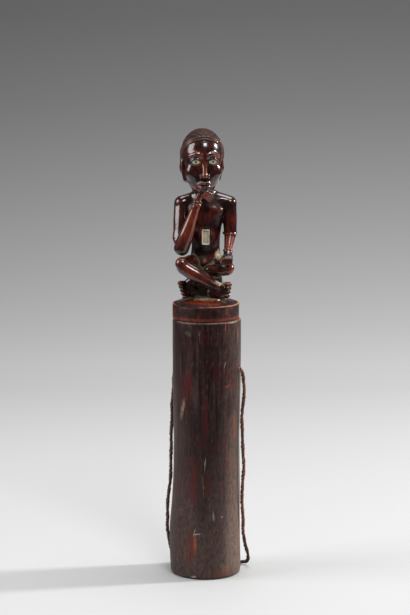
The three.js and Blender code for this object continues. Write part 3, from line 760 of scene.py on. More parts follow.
for side in (-1, 1):
    head.add(egg((side * 2.9, -18.6, -11.9), (1.8, 2.3, 1.8), turn=side * 20), blend=0.6)
    head.cut(egg((side * 1.7, -20, -14), (0.8, 1.2, 1)), blend=0.3)
    upper_lip = [(side * 6.2, -15.6, -19.2), (side * 2.4, -18.5, -17.5), (0, -18.8, -18)]
    head.add(*chain(upper_lip, [0.8, 1.65, 1.5]), blend=0.7)
    lower_lip = [(side * 5.8, -15.6, -19.9), (side * 2.2, -17.9, -21.3), (0, -18.2, -21.5)]
    head.add(*chain(lower_lip, [0.8, 1.6, 1.75]), blend=0.7)
    head.groove(*chain([(side * 6.4, -16.6, -19.5), (0, -20, -19.6)], [0.5, 0.7]), depth=0.9)
    head.groove(limb((side * 4.2, -18.6, -11), (side * 7, -16.8, -16.5), 0.6, 0.4), depth=0.25)
head.groove(limb((0, -19, -14.6), (0, -19.6, -16.4), 0.7, 0.6), depth=0.4)
head.cut(egg((0, -20.4, -24.6), (3.4, 1.8, 1.1)), blend=1.2)
head.add(Shape((-20, -22, -15), (20, 23, 30.5), hair_distance), blend=0.2)
for side in (-1, 1):
    head.add(egg((side * 17.4, 2.4, -2.4), (2.1, 4, 6.8), nod=12), blend=1.2)
    head.cut(egg((side * 19.4, 1.8, -1.8), (1, 2.2, 4.2), nod=12), blend=0.7)
    head.add(egg((side * 17.4, -0.6, -2.6), (1.3, 1.2, 1.5)), blend=0.6)
    head.add(limb((side * 15.4, 2.6, -6), (side * 12.4, 1.6, -15), 3.4, 4.4), blend=3)


# The eyes are almonds, each in a socket with its lids.
EYE_WIDTH = 7.6
EYE_HEIGHT = 4.4
EYE_SPACING = 15.2
EYE_FACE = 16.9
EYE_TOE_OUT = 15
EYE_UP = 0.5
INLAY_GAP = 0.3


def almond_distance(x, z, width, height):
    """Distance to an almond between two arcs, corner to corner along X."""
    rise = height / 2
    radius = ((width / 2) ** 2 + rise**2) / (2 * rise)
    return np.sqrt(x**2 + (np.abs(z) + radius - rise) ** 2) - radius


def eye_space(side):
    """Places something made about an eye's centre at that eye."""
    matrix = HEAD_TURN @ rotation(turn=side * EYE_TOE_OUT)
    return matrix, HEAD_CENTRE + HEAD_TURN @ np.array([side * EYE_SPACING / 2, -EYE_FACE, EYE_UP])


def lid_rim(x, y, z):
    """The raised edge of the lids, higher over the eye than under it."""
    edge = almond_distance(x, z, EYE_WIDTH + 1.2, EYE_HEIGHT + 1.2)
    thick = 0.62 + 0.3 * np.clip(z, -1, 1)
    return np.sqrt(edge**2 + (y + 0.3 - 0.06 * x**2) ** 2) - thick


def socket(x, y, z):
    edge = almond_distance(x, z, EYE_WIDTH + 0.5, EYE_HEIGHT + 0.5)
    return np.maximum(edge, y - 3.1)


for side in (-1, 1):
    head.placing = eye_space(side)
    head.add(Shape((-6, -2, -4), (6, 2, 4), lid_rim), blend=0.5)
    head.cut(Shape((-5, -6, -4), (5, 4, 4), socket), blend=0.25)


# The parts come together with a little wood between them.
for part, blend in ((body, 1.6), (legs, 0.7), (right_leg, 0.7), (arms, 1), (head, 1.2), (forearm, 0.5)):
    figure.merge(part, blend)
figure.groove(*left_nails, *right_nails, depth=0.35)


# The pocket in the belly.
BELLY_WIDTH = 7
BELLY_HEIGHT = 13.8
BELLY_CORNER = 1.1
BELLY_COLLAR = 1.5
BELLY_COLLAR_DEPTH = 3
BELLY_GLASS_INSET = 0.9
BELLY_GLASS_THICKNESS = 1
BELLY_CHARGE_DEPTH = 4
BELLY_FACE = np.array([0, -7.5, 303.7])


def belly_pocket(x, y, z):
    half_width = BELLY_WIDTH / 2 + INLAY_GAP - BELLY_CORNER
    half_height = BELLY_HEIGHT / 2 + INLAY_GAP - BELLY_CORNER
    across = np.maximum(np.abs(x) - half_width, 0)
    up = np.maximum(np.abs(z) - half_height, 0)
    edge = np.sqrt(across**2 + up**2) - BELLY_CORNER
    return np.maximum(edge, y - (BELLY_COLLAR_DEPTH + BELLY_CHARGE_DEPTH + 3 * INLAY_GAP))


figure.placing = (np.eye(3), BELLY_FACE)
figure.cut(Shape((-4, -8, -8), (4, 9, 8), belly_pocket), blend=0.3)


def carve_out(name, field):
    """A grid's surface as a piece, with how hollow the wood is near each point kept for its finish.

    Creases are read close by, and hollows farther round: how deep, how far, and what counts as full."""
    points, faces = skin_of(field)
    points = settled(field, points)
    piece = make_piece(name, SCULPT_LOW + points * SCULPT_STEP, faces)
    for attribute, deep, far, full in (("crease", 1.2, 0.7, 0.45), ("hollow", 3.5, 2.2, 1.5)):
        around = blurred(np.clip(field, -deep, deep), max(1, round(far / SCULPT_STEP)))
        keep_values(piece, attribute, np.clip(0.5 - sampled(around, points) / (2 * full), 0, 1))
    return piece


FACE_LIMIT = 120000
figure_piece = carve_out("figure_and_lid", figure.field)
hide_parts("lid_figure")
if len(figure_piece.data.polygons) > FACE_LIMIT:
    thin = figure_piece.modifiers.new("fewer faces", "DECIMATE")
    thin.ratio = FACE_LIMIT / len(figure_piece.data.polygons)
    apply_modifiers(figure_piece)


# The cylinder: a hollowed billet with a slight waist, a flare and a swelling near the foot.
CHAMBER_RADIUS = 23.4
FLOOR_THICKNESS = 13
FOOT_RADIUS = 28.6
FOOT_ROUNDING = 3
HOLE_RADIUS = 2.4
BOX_SIDES = 180
# The billet's natural shape: how much, at what height, and how far up and down. The swelling is on one side.
WAIST = (0.95, 120, 40)
FLARE = (0.9, 10, 25)
FACETS_START = 7
SWELLING = (1.9, 38, 25)
SWELLING_BEARING = 176
SWELLING_WIDTH = 42
LEAN = (0.45, 75, 25)


def bulge(z, amount, height, spread):
    return amount * math.exp(-(((z - height) / spread) ** 2))


def box_radius(z):
    return BOX_RADIUS - bulge(z, *WAIST) + bulge(z, *FLARE)


def make_box():
    """The outer wall from the foot to the rim, and the chamber from the rim to its floor, as loops."""
    outer = [(0.5, 0.0), (FOOT_RADIUS - 8, 0.0), (FOOT_RADIUS, 0.15)]
    for angle in np.radians(np.linspace(-62, 0, 9)):
        radius = box_radius(0) - FOOT_ROUNDING + FOOT_ROUNDING * math.cos(angle)
        outer.append((radius, FOOT_ROUNDING + FOOT_ROUNDING * math.sin(angle)))
    outer += [(box_radius(z), z) for z in np.arange(8, BOX_HEIGHT - 2.4, 2.0)]
    rim = [(BOX_RADIUS - 0.05, BOX_HEIGHT - 1.7), (BOX_RADIUS - 0.4, BOX_HEIGHT - 0.7)]
    rim += [(BOX_RADIUS - 1, BOX_HEIGHT - 0.15), (BOX_RADIUS - 2, BOX_HEIGHT)]
    rim += [(CHAMBER_RADIUS + 1.4, BOX_HEIGHT), (CHAMBER_RADIUS + 0.3, BOX_HEIGHT - 0.5)]
    inner = [(CHAMBER_RADIUS, BOX_HEIGHT - 1.4)] + [(CHAMBER_RADIUS, z) for z in np.arange(224, 18, -6.0)]
    inner += [(CHAMBER_RADIUS - 0.6, FLOOR_THICKNESS + 2), (CHAMBER_RADIUS - 2.4, FLOOR_THICKNESS + 0.4)]
    inner += [(CHAMBER_RADIUS - 5, FLOOR_THICKNESS), (0.5, FLOOR_THICKNESS)]
    bearing = np.arange(BOX_SIDES) * TAU / BOX_SIDES
    loops = []
    for place, (radius, z) in enumerate(outer + rim + inner):
        outside = place < len(outer) + len(rim) - 2
        out = np.full(BOX_SIDES, float(radius))
        if outside and radius > 5:
            off = (np.degrees(bearing) - SWELLING_BEARING + 540) % 360 - 180
            out += bulge(z, *SWELLING) * np.exp(-((off / SWELLING_WIDTH) ** 2))
            # Hand carving leaves it uneven, with long shallow facets above the foot.
            out += 0.1 * np.sin(7 * bearing + z / 31) + 0.07 * np.sin(13 * bearing - z / 17)
            facets = 0.1 * np.abs(np.sin(17 * bearing + z / 90)) * (z > FACETS_START)
            out += 0.05 * np.sin(z / 5.3) - 0.16 - facets
        elif radius > 5:
            out += 0.15 * np.sin(9 * bearing + z / 11) + 0.1 * np.sin(23 * bearing + z / 7) + 0.15
        shift, middle, spread = LEAN
        lean = shift * (1 + math.tanh((z - middle) / spread)) if outside and z > 0.1 else 0
        ring_x, ring_y = out * np.cos(bearing) + lean, out * np.sin(bearing)
        loops.append(np.stack([ring_x, ring_y, np.full(BOX_SIDES, z)], axis=1))
    return lofted("box", loops)


HOLE_SIDES = 28
DRILL_REACH = 12
WALL_MIDDLE = BOX_RADIUS - 3.5


def drill(piece, bearing):
    """Cuts a slanted cord hole through the wall."""
    turn = rotation(turn=math.degrees(bearing)) @ rotation(lean=math.degrees(HOLE_SLANT))
    around = np.arange(HOLE_SIDES) * TAU / HOLE_SIDES
    y, z = HOLE_RADIUS * np.cos(around), HOLE_RADIUS * np.sin(around)
    circles = [np.stack([np.full(HOLE_SIDES, x), y, z], axis=1) for x in (-DRILL_REACH, DRILL_REACH)]
    tool = lofted("drill", [circle @ turn.T + on_hole_line(WALL_MIDDLE, bearing) for circle in circles])
    cut = piece.modifiers.new("hole", "BOOLEAN")
    cut.operation = "DIFFERENCE"
    cut.object = tool
    cut.solver = "EXACT"
    apply_modifiers(piece)
    bpy.data.objects.remove(tool)


box = make_box()
drill(box, LEFT_HOLE_BEARING)
drill(box, RIGHT_HOLE_BEARING)
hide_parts("box_body")


# The inlays, each from loops: its back, its edge and its slightly domed face.
def almond_outline(width, height, count=32):
    """Points round an almond, from one corner and back to it."""
    rise = height / 2
    radius = ((width / 2) ** 2 + rise**2) / (2 * rise)
    half = math.asin(width / 2 / radius)
    upper = np.linspace(-half, half, count // 2, endpoint=False)
    x = np.concatenate([radius * np.sin(upper), -radius * np.sin(upper)])
    z = np.concatenate([radius * np.cos(upper) - radius + rise, -(radius * np.cos(upper) - radius + rise)])
    return np.stack([x, z], axis=1)


def rectangle_outline(width, height, corner, count=32):
    """Points round a rectangle with rounded corners."""
    quarter = count // 4
    points = []
    for turn, (sx, sz) in enumerate(((1, 1), (-1, 1), (-1, -1), (1, -1))):
        for angle in np.linspace(turn, turn + 1, quarter) * math.pi / 2:
            points.append((sx * (width / 2 - corner) + corner * math.cos(angle),
                           sz * (height / 2 - corner) + corner * math.sin(angle)))
    return np.array(points)


def at_depth(outline, depth):
    """An outline as points in space, at a depth along Y."""
    return np.column_stack([outline[:, 0], np.full(len(outline), depth), outline[:, 1]])


def domed_pad(name, outline, face, back, dome, matrix, centre):
    """A pad with a flat back and a domed face that looks along -Y."""
    steps = [(0.02, back), (0.97, back), (1, back - 0.1), (1, face + 0.25), (0.97, face + 0.08)]
    steps += [(share, face - dome * (1 - share**2)) for share in (0.88, 0.72, 0.52, 0.3, 0.02)]
    return lofted(name, [at_depth(outline * share, depth) @ matrix.T + centre for share, depth in steps])


EYE_GLASS_THICKNESS = 1.1
EYE_BED_THICKNESS = 1.3
EYE_GLASS_SHARE = 0.98
eye_beds, eye_glasses = [], []
for side, side_name in ((-1, "right"), (1, "left")):
    matrix, centre = eye_space(side)
    outline = almond_outline(EYE_WIDTH, EYE_HEIGHT)
    bed_face = EYE_GLASS_THICKNESS + INLAY_GAP
    bed_back = bed_face + EYE_BED_THICKNESS
    bed = domed_pad(f"clay_eye_{side_name}", outline, bed_face, bed_back, 0.15, matrix, centre)
    outline = outline * EYE_GLASS_SHARE
    glass = domed_pad(f"glass_eye_{side_name}", outline, 0.2, EYE_GLASS_THICKNESS, 0.3, matrix, centre)
    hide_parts(f"eye_bed_{side_name}")
    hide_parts(f"eye_glass_{side_name}")
    eye_beds.append(bed)
    eye_glasses.append(glass)


def make_collar():
    """The frame round the belly glass, with worn round edges."""
    loops = []
    for inset, depth in (
        (0, BELLY_COLLAR_DEPTH), (0, 0.5), (0.12, 0.16), (0.4, 0), (1, 0.02), (1.35, 0.2),
        (BELLY_COLLAR, 0.6), (BELLY_COLLAR, BELLY_COLLAR_DEPTH),
    ):
        corner = max(BELLY_CORNER - inset * 0.4, 0.4)
        outline = rectangle_outline(BELLY_WIDTH - 2 * inset, BELLY_HEIGHT - 2 * inset, corner)
        loops.append(at_depth(outline, depth) + BELLY_FACE)
    count = len(loops[0])
    faces = quads_between([i * count for i in range(len(loops))] + [0], count)
    return make_piece("bone_collar", np.concatenate(loops), faces)


PANE_MARGIN = 3.2
PANE_CORNER = 0.5
collar = make_collar()
outline = rectangle_outline(BELLY_WIDTH - PANE_MARGIN, BELLY_HEIGHT - PANE_MARGIN, PANE_CORNER)
face, back = BELLY_GLASS_INSET + 0.3, BELLY_GLASS_INSET + BELLY_GLASS_THICKNESS
belly_glass = domed_pad("glass_pane", outline, face, back, 0.25, np.eye(3), BELLY_FACE)
outline = rectangle_outline(BELLY_WIDTH, BELLY_HEIGHT, BELLY_CORNER)
face = BELLY_COLLAR_DEPTH + INLAY_GAP
charge = domed_pad("resin_charge", outline, face, face + BELLY_CHARGE_DEPTH, 0, np.eye(3), BELLY_FACE)
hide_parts("belly_collar")
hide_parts("belly_glass")
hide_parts("belly_charge")


# Finishes.
def colour(hex_code):
    """A linear colour from an sRGB hex code."""
    parts = [int(hex_code[i : i + 2], 16) / 255 for i in (0, 2, 4)]
    return (*[p / 12.92 if p <= 0.04045 else ((p + 0.055) / 1.055) ** 2.4 for p in parts], 1)


# The nodes that the finishes use: each one's kind, its inputs in the order they are given, its output
# and its settings.
Node = namedtuple("Node", "kind inputs output settings", defaults=(0, {}))
RANGE = ("Value", "From Min", "From Max", "To Min", "To Max")
NODES = {
    "place": Node("TexCoord", (), "Object"),
    "attribute": Node("Attribute", (), "Fac"),
    "apart": Node("SeparateXYZ", (0,)),
    "stretch": Node("Mapping", ("Vector", "Scale")),
    "within": Node("Mapping", ("Vector", "Location", "Rotation", "Scale"), 0, {"vector_type": "TEXTURE"}),
    "length": Node("VectorMath", (0,), "Value", {"operation": "LENGTH"}),
    "less": Node("VectorMath", (0, 1), 0, {"operation": "SUBTRACT"}),
    "scaled": Node("VectorMath", (0, "Scale"), 0, {"operation": "SCALE"}),
    "moved": Node("VectorMath", (0, 1), 0, {"operation": "ADD"}),
    "times": Node("Math", (0, 1), 0, {"operation": "MULTIPLY"}),
    "most": Node("Math", (0, 1), 0, {"operation": "MAXIMUM"}),
    "spread": Node("MapRange", RANGE, 0, {"interpolation_type": "SMOOTHSTEP"}),
    "mix": Node("Mix", (2, 3, 0)),
    "layer": Node("Mix", (6, 7, 0), 2, {"data_type": "RGBA"}),
    "noise": Node("TexNoise", ("Vector", "Scale", "Detail", "Roughness"), "Fac"),
    "ramp": Node("ValToRGB", ("Fac",)),
    "bump": Node("Bump", ("Height", "Distance", "Strength", "Normal")),
    "surface": Node("BsdfPrincipled", ()),
    "output": Node("OutputMaterial", ("Surface",)),
}


def add_node(tree, name, *values, stops=(), output=None, sockets=None, **settings):
    """Adds a node of the table and gives its output. A value is a number, a hex code, or an output to link.

    stops are a colour ramp's places and hex codes. sockets are inputs that are given by name."""
    node = NODES[name]
    made = tree.nodes.new("ShaderNode" + node.kind)
    for setting, value in {**node.settings, **settings}.items():
        setattr(made, setting, value)
    for socket, value in [*zip(node.inputs, values), *(sockets or {}).items()]:
        if isinstance(value, bpy.types.NodeSocket):
            tree.links.new(value, made.inputs[socket])
        else:
            made.inputs[socket].default_value = colour(value) if isinstance(value, str) else value
    for i, (position, code) in enumerate(stops):
        stop = made.color_ramp.elements[i] if i < 2 else made.color_ramp.elements.new(position)
        stop.position, stop.color = position, colour(code)
    return made.outputs[output or node.output] if made.outputs else None


def make_finish(name, look):
    """A material from a look: a function that adds a surface's patterns and gives its shader's inputs."""
    material = bpy.data.materials.new(name)
    material.use_nodes = True
    material.node_tree.nodes.clear()
    add = partial(add_node, material.node_tree)
    add("output", add("surface", sockets=look(add, add("place"))))
    return material


def per(size):
    """The scale of a pattern whose features are a size in millimetres."""
    return 1 / (size * MM)


def ragged(add, place, size, reach):
    """A place shifted unevenly, to give patterns ragged edges: the size of the unevenness, and its reach."""
    shifts = add("less", add("noise", place, per(size), 4, 0.7, output="Color"), (0.5, 0.5, 0.5))
    return add("moved", place, add("scaled", shifts, 2 * reach * MM))


def mark(add, place, centre, half_size, soft, lean=0):
    """How much a point is in an egg-shaped place: its centre, its half sizes and its lean in degrees."""
    turn = (0, math.radians(lean), 0)
    local = add("within", place, [v * MM for v in centre], turn, [v * MM for v in half_size])
    return add("spread", add("length", local), 1 + soft, 1 - soft)


def on_front(add, place, x, z, half_width, half_height, soft, lean):
    """A mark on the front of the cylinder, where it is seen at x and z."""
    return mark(add, place, (x, -27, z), (half_width, 26, half_height), soft, lean)


def figure_wood(add, place):
    """Oiled red hardwood: near-black patina, red and orange in places, painted shade in the hollows, the
    creases, the crown, the lower belly and the front foot, and pale dust in the hollows.
    """
    height = add("apart", place, output="Z")
    grain = add("noise", add("stretch", place, (1, 1, 0.14)), per(1.3), 5, 0.65)
    patches = add("noise", place, per(9), 4, 0.6)
    specks = add("noise", place, per(1.1), 4, 0.7)
    warped = ragged(add, place, 3, 1.6)
    crease = add("attribute", attribute_name="crease")
    hollow = add("attribute", attribute_name="hollow")

    patina = add("ramp", grain, stops=((0.3, "0c0505"), (0.55, "220a08"), (0.75, "3c130d")))
    red = add("ramp", grain, stops=((0.3, "2c0a07"), (0.55, "551a0f"), (0.75, "742b15")))
    orange = add("ramp", grain, stops=((0.3, "4a160c"), (0.55, "7c3018"), (0.75, "a04d25")))
    wood = add("layer", patina, red, add("spread", patches, 0.4, 0.66))
    # The forearms, the front shin and the top of the lid are layered with orange.
    for centre, half_size, lean, strength in (
        ((-13, -18, 318), (5.5, 7, 19), 18, 0.85),
        ((-3, -20, 339), (7, 5, 5), 0, 0.5),
        ((20.5, -6, 297), (5, 7, 9), -6, 0.85),
        ((-7, -17, 271), (14, 7, 4), 27, 0.45),
        ((-14, -18, 276), (7, 7, 4), 27, 0.6),
        ((-1, -22, 248), (25, 9, 3), 0, 0.8),
        ((3, -14, 318), (6, 6, 12), 0, 0.35),
        ((-3, -26, 366), (4, 8, 16), 0, 0.3),
    ):
        lighter_place = mark(add, warped, centre, half_size, 0.5, lean)
        wood = add("layer", wood, orange, add("times", lighter_place, strength))
    # Edges are rubbed to a light red brown, and less on the crown.
    on_crown = mark(add, place, (-3, -2, 394), (17, 19, 9), 0.25)
    in_patches = add("spread", patches, 0.38, 0.58, 0.15, 1)
    edges = add("times", add("spread", crease, 0.42, 0.3, 0, 0.5), in_patches)
    wood = add("layer", wood, "87401f", add("times", edges, add("spread", on_crown, 0, 1, 1, 0.35)))
    # The crown, the lower belly and the foot in front are painted darker as painted shade, and the hand on the
    # knee is dark.
    belly = mark(add, warped, (-1, -8, 292.5), (12, 8, 6), 0.4)
    foot = mark(add, warped, (8, -17, 257), (8, 9, 8), 0.3)
    hand = mark(add, warped, (19, -14, 285), (7, 7, 6.5), 0.25)
    dull = add("most", foot, hand)
    for part, code, strength in ((on_crown, "1e0705", 0.8), (belly, "0b0505", 0.7), (dull, "150a08", 0.6)):
        wood = add("layer", wood, code, add("times", part, strength))

    # The band round the lid is satin dark brown, redder along its lower edge. The plug under it is dark.
    band = add("spread", height, 0.2468, 0.2458)
    blotch = add("noise", place, per(5), 5, 0.7)
    worn = add("ramp", blotch, stops=((0.36, "0c0707"), (0.48, "22100d"), (0.58, "45150d"), (0.7, "6a3c30")))
    wood = add("layer", wood, worn, band)
    low_edge = add("spread", height, 0.2355, 0.233)
    low_edge = add("times", low_edge, add("spread", patches, 0.34, 0.52, 0.3, 0.9))
    low_edge = add("times", low_edge, add("spread", height, 0.2305, 0.2315, 0.15, 1))
    wood = add("layer", wood, "70301f", low_edge)
    # The hollows and the creases are painted near-black: painted shade, together with soot and oil.
    wood = add("layer", wood, "060303", add("spread", hollow, 0.52, 0.66, 0, 0.85))
    wood = add("layer", wood, "060303", add("spread", crease, 0.56, 0.74, 0, 0.85))
    # The rim of the lid is worn to bare pale wood.
    at_rim = add("times", add("spread", height, 0.2438, 0.2446), add("spread", height, 0.2482, 0.2474))
    rim = add("times", add("spread", crease, 0.4, 0.31), at_rim)
    wood = add("layer", wood, "a8714f", add("times", rim, add("spread", specks, 0.36, 0.56)))

    # Dust lies in the hollows of the legs and seat, at the front only.
    low_down = add("spread", height, 0.302, 0.285)
    dust = add("times", add("spread", hollow, 0.58, 0.74, 0, 0.4), low_down)
    dust = add("times", dust, add("spread", add("apart", place, output="Y"), 0.008, -0.002))
    # It is thick on the left thigh, on the right foot and round the seat.
    for centre, half_size, strength in (
        ((11.4, -4, 288), (3, 7, 4.4), 1),
        ((11.6, -15, 264.6), (5.5, 5, 2.4), 0.8),
        ((0, -14, 249.6), (20, 8, 0.9), 0.7),
        ((-4, -8, 285), (6, 5, 2.4), 0.15),
    ):
        dust = add("most", dust, add("times", mark(add, warped, centre, half_size, 0.4), strength))
    # It fills the cuts on the chest, the neck and the hand, and some on the crown.
    neck = mark(add, place, (0, -10, 331), (14, 8, 12), 0.2)
    in_cuts = add("most", add("most", neck, hand), add("times", on_crown, 0.35))
    cuts = add("times", add("spread", crease, 0.55, 0.7), in_cuts)
    dust = add("most", dust, add("times", cuts, 0.7))
    thin = add("noise", place, per(2.4), 5, 0.75)
    dust = add("times", dust, add("spread", thin, 0.34, 0.54, 0.15, 0.95))
    wood = add("layer", wood, "b8a285", dust)

    # The crown, the trunk and some hollows are handled less than the face and limbs, and shine less.
    trunk = mark(add, place, (0.5, 0, 312), (15.5, 16, 36), 0.12)
    forearm = mark(add, place, (20.5, -2.5, 298.5), (6, 9, 9), 0.2)
    armpit = mark(add, place, (-14, -3, 326), (5, 8, 13), 0.2)
    satin = on_crown
    for part, strength in ((trunk, 0.85), (dull, 0.8), (forearm, 0.6), (armpit, 0.9)):
        satin = add("most", satin, add("times", part, strength))
    rough = add("spread", specks, 0.3, 0.7, 0.16, 0.3)
    for part, roughness in ((satin, 0.42), (on_crown, 0.85), (band, 0.55), (dust, 0.85)):
        rough = add("mix", rough, roughness, part)
    bare_of_oil = add("most", add("most", band, dust), add("times", satin, 0.85))
    relief = add("bump", grain, 0.08 * MM, 0.35)
    return {
        "Base Color": wood,
        "Roughness": rough,
        "Specular IOR Level": 0.25,
        "Coat Weight": add("spread", bare_of_oil, 0, 1, 0.85, 0.03),
        "Coat Roughness": 0.12,
        "Normal": add("bump", patches, 0.5 * MM, 0.3, relief),
    }


def box_wood(add, place):
    """Satin dark hardwood with upright grain, greyer below with dust and a painted floor reflection, painted
    lighter low on the right by the key light, with darker and redder places, a painted sheen and scars.
    """
    height = add("apart", place, output="Z")
    long_grain = add("stretch", place, (1, 1, 0.05))
    short_grain = add("stretch", place, (1, 1, 0.45))
    fine = add("noise", long_grain, per(1.5), 5, 0.7)
    streaks = add("noise", long_grain, per(4.5), 5, 0.7)
    patches = add("noise", short_grain, per(13), 5, 0.65)
    speckle = add("noise", short_grain, per(2.2), 6, 0.8)

    wood = add("ramp", streaks, stops=((0.36, "090404"), (0.47, "1c0d0c"), (0.56, "311a17"), (0.68, "472d28")))
    wood = add("layer", wood, add("ramp", fine, stops=((0.4, "0a0404"), (0.6, "4a302a"))), 0.45)
    wood = add("layer", wood, "3c0d0c", add("spread", patches, 0.5, 0.62, 0, 0.65))
    # Towards the foot it is greyer: dust, and a painted reflection of the pale floor.
    dust_and_floor_reflection = add("spread", height, 0.15, 0.015, 0, 0.7)
    wood = add("layer", wood, add("ramp", speckle, stops=((0.34, "382a2b"), (0.64, "5a4942"))), dust_and_floor_reflection)
    # The right side, more so low down, is painted lighter and greyer: a painted pool of key light from the
    # right.
    painted_key_light = add("spread", add("apart", place, output="X"), 0.012, 0.029)
    painted_key_light = add("times", painted_key_light, add("spread", height, 0.2, 0.04, 0.15, 0.75))
    wood = add("layer", wood, add("ramp", speckle, stops=((0.35, "563f37"), (0.65, "8c7565"))), painted_key_light)
    wood = add("layer", wood, "5f4e48", add("spread", speckle, 0.54, 0.63, 0, 0.35))
    wood = add("layer", wood, "080404", add("spread", speckle, 0.47, 0.38, 0, 0.38))

    # Darker and redder places on the front: x, z, half width, half height, lean, strength and colour.
    warped = ragged(add, place, 3.5, 2.6)
    broken = add("spread", streaks, 0.4, 0.58, 0.12, 1)
    for x, z, half_width, half_height, lean, strength, code in (
        (-3, 122, 11, 34, 0, 0.6, "0e0708"),
        (21, 155, 4, 10, 0, 0.55, "120c0e"),
        (-3.5, 76, 6, 24, 0, 0.6, "1c0c0a"),
        (-20, 213, 9, 12, 0, 0.5, "120a0a"),
        (-8.5, 166, 2.4, 15, 0, 0.4, "484347"),
        (6.5, 173, 4, 6, 0, 0.35, "44434a"),
        (-16, 174, 5, 13, 0, 0.7, "541213"),
        (1.5, 146, 4, 17, 0, 0.55, "561210"),
        (-10.5, 90, 4.5, 20, 0, 0.7, "52140e"),
        (-24, 84, 3.5, 10, 0, 0.5, "5c2a26"),
        (1, 87, 3, 9, 0, 0.5, "4c1611"),
        (19, 106, 5, 9, 0, 0.5, "6a3c32"),
        # The streak at x 25.5 is a painted sheen of the key light down the lit right side.
        (25.5, 136, 1.8, 12, 0, 0.6, "7d4434"),
        (-13.6, 29, 5.6, 12.5, 3, 0.8, "5f2a1d"),
        (-9.8, 31, 1.8, 6.5, 0, 0.8, "7c3621"),
        (-13.4, 15, 2.6, 6, 0, 0.55, "683426"),
        (13, 5, 12, 4, 0, 0.55, "67382c"),
        (18.5, 9, 3.4, 4.4, 0, 0.5, "7e5748"),
        (21, 34, 3, 26, 0, 0.4, "78685e"),
        (5.8, 194.6, 2.6, 1, 24, 0.7, "7a3028"),
        (19.2, 173.8, 3, 1.2, -18, 0.75, "82392b"),
    ):
        share = add("times", on_front(add, warped, x, z, half_width, half_height, 0.55, lean), broken)
        wood = add("layer", wood, code, add("times", share, strength))
    # Scars and scratches down to pale wood: x, z, half width, half height, lean and colour.
    gentle = ragged(add, place, 2.2, 1)
    chipped = add("spread", speckle, 0.38, 0.58, 0.25, 1)
    bare = None
    for x, z, half_width, half_height, lean, code in (
        (-20.4, 153, 1.3, 8.4, 10, "8e7463"),
        (-7.4, 41.6, 2.8, 0.35, -8, "bcb0a5"),
        (-9.9, 42.6, 0.35, 3.6, 12, "a89b90"),
        (-9.4, 34.6, 0.28, 6, 0, "a5836f"),
        (-0.6, 104, 0.45, 5.8, 4, "8c7b70"),
        (-2.2, 86, 0.4, 8, -3, "6e625b"),
        (6.9, 58, 0.8, 4.6, -3, "877c74"),
        (14.5, 56.6, 0.9, 0.9, 0, "968c82"),
        (17.4, 226.4, 0.35, 3.6, 0, "964e4c"),
        (28.4, 217.5, 0.5, 10, 0, "945650"),
        (17, 193.4, 0.4, 2.6, 18, "8c7d74"),
        (-10.7, 2.6, 2.2, 0.9, 0, "b3a28e"),
        (-5.4, 219, 0.35, 5, 0, "6b4a42"),
        (-15, 221, 3, 2.2, 20, "4a4442"),
    ):
        share = add("times", on_front(add, gentle, x, z, half_width, half_height, 0.6, lean), chipped)
        wood = add("layer", wood, code, share)
        bare = share if bare is None else add("most", bare, share)
    # The lip of the mouth is rubbed pale.
    lip = add("spread", add("noise", place, per(4), 4, 0.7), 0.4, 0.6, 0.1, 0.8)
    lip = add("times", add("spread", height, 0.2292, 0.2303), lip)
    wood = add("layer", wood, "8f6f62", add("times", lip, 0.8))

    relief = add("bump", fine, 0.18 * MM, 0.8)
    relief = add("bump", speckle, 0.18 * MM, 0.5, relief)
    return {
        "Base Color": wood,
        "Roughness": add("mix", add("spread", speckle, 0.3, 0.7, 0.3, 0.52), 0.72, dust_and_floor_reflection),
        "Specular IOR Level": 0.27,
        "Normal": add("bump", bare, 0.3 * MM, 0.6, relief, invert=True),
    }


def cord_fibre(add, place):
    """Twisted plant fibre, nearly black on the side at -X and orange-brown elsewhere, with painted shade
    between the strands.
    """
    across = add("apart", place, output="X")
    height = add("apart", place, output="Z")
    threads = add("noise", place, per(1.9), 4, 0.75)
    lengths = add("noise", place, per(15), 4, 0.75)
    fibre = add("ramp", lengths, stops=((0.36, "28110e"), (0.45, "58251b"), (0.55, "833e2a"), (0.66, "ab683f")))
    # The side at -X is darker, and redder near its foot. The side at +X is lighter in its middle.
    fibre = add("layer", fibre, "261214", add("spread", across, 0.01, -0.01, 0, 0.7))
    redder = add("times", add("spread", height, 0.085, 0.065), add("spread", across, 0, -0.02, 0, 0.6))
    fibre = add("layer", fibre, "6a2e2c", redder)
    lighter_place = add("times", add("spread", height, 0.05, 0.07), add("spread", height, 0.125, 0.1))
    lighter_place = add("times", lighter_place, add("spread", across, 0.01, 0.03, 0, 0.7))
    fibre = add("layer", fibre, "9a5236", lighter_place)
    # It is painted pale where it comes out of the hole at +X, a painted highlight, and it is darker near the
    # floor.
    at_hole = mark(add, place, (31, -9.6, 186.5), (3, 4, 3), 0.3)
    fibre = add("layer", fibre, "c08d74", add("times", at_hole, 0.8))
    fibre = add("layer", fibre, add("ramp", threads, stops=((0.4, "150a09"), (0.6, "b07a58"))), 0.5)
    fibre = add("layer", fibre, "1e100d", add("spread", height, 0.045, 0.018, 0, 0.65))
    # The valleys between the strands are painted dark: painted shade.
    crown = add("attribute", attribute_name="crown")
    fibre = add("layer", fibre, "0b0505", add("spread", crown, 0.93, 0.6, 0, 0.88))
    return {"Base Color": fibre, "Roughness": 0.66, "Normal": add("bump", threads, 0.25 * MM, 0.9)}


def with_pupils(add, place, ground):
    """A painted dark pupil with a thin brown edge, at the middle of each eye."""
    for side in (-1, 1):
        _, centre = eye_space(side)
        for radius, code, strength in ((1.3, "8d7f63", 0.6), (0.75, "140e0b", 0.92)):
            pupil = mark(add, place, centre, (radius, 6, radius), 0.18)
            ground = add("layer", ground, code, add("times", pupil, strength))
    return ground


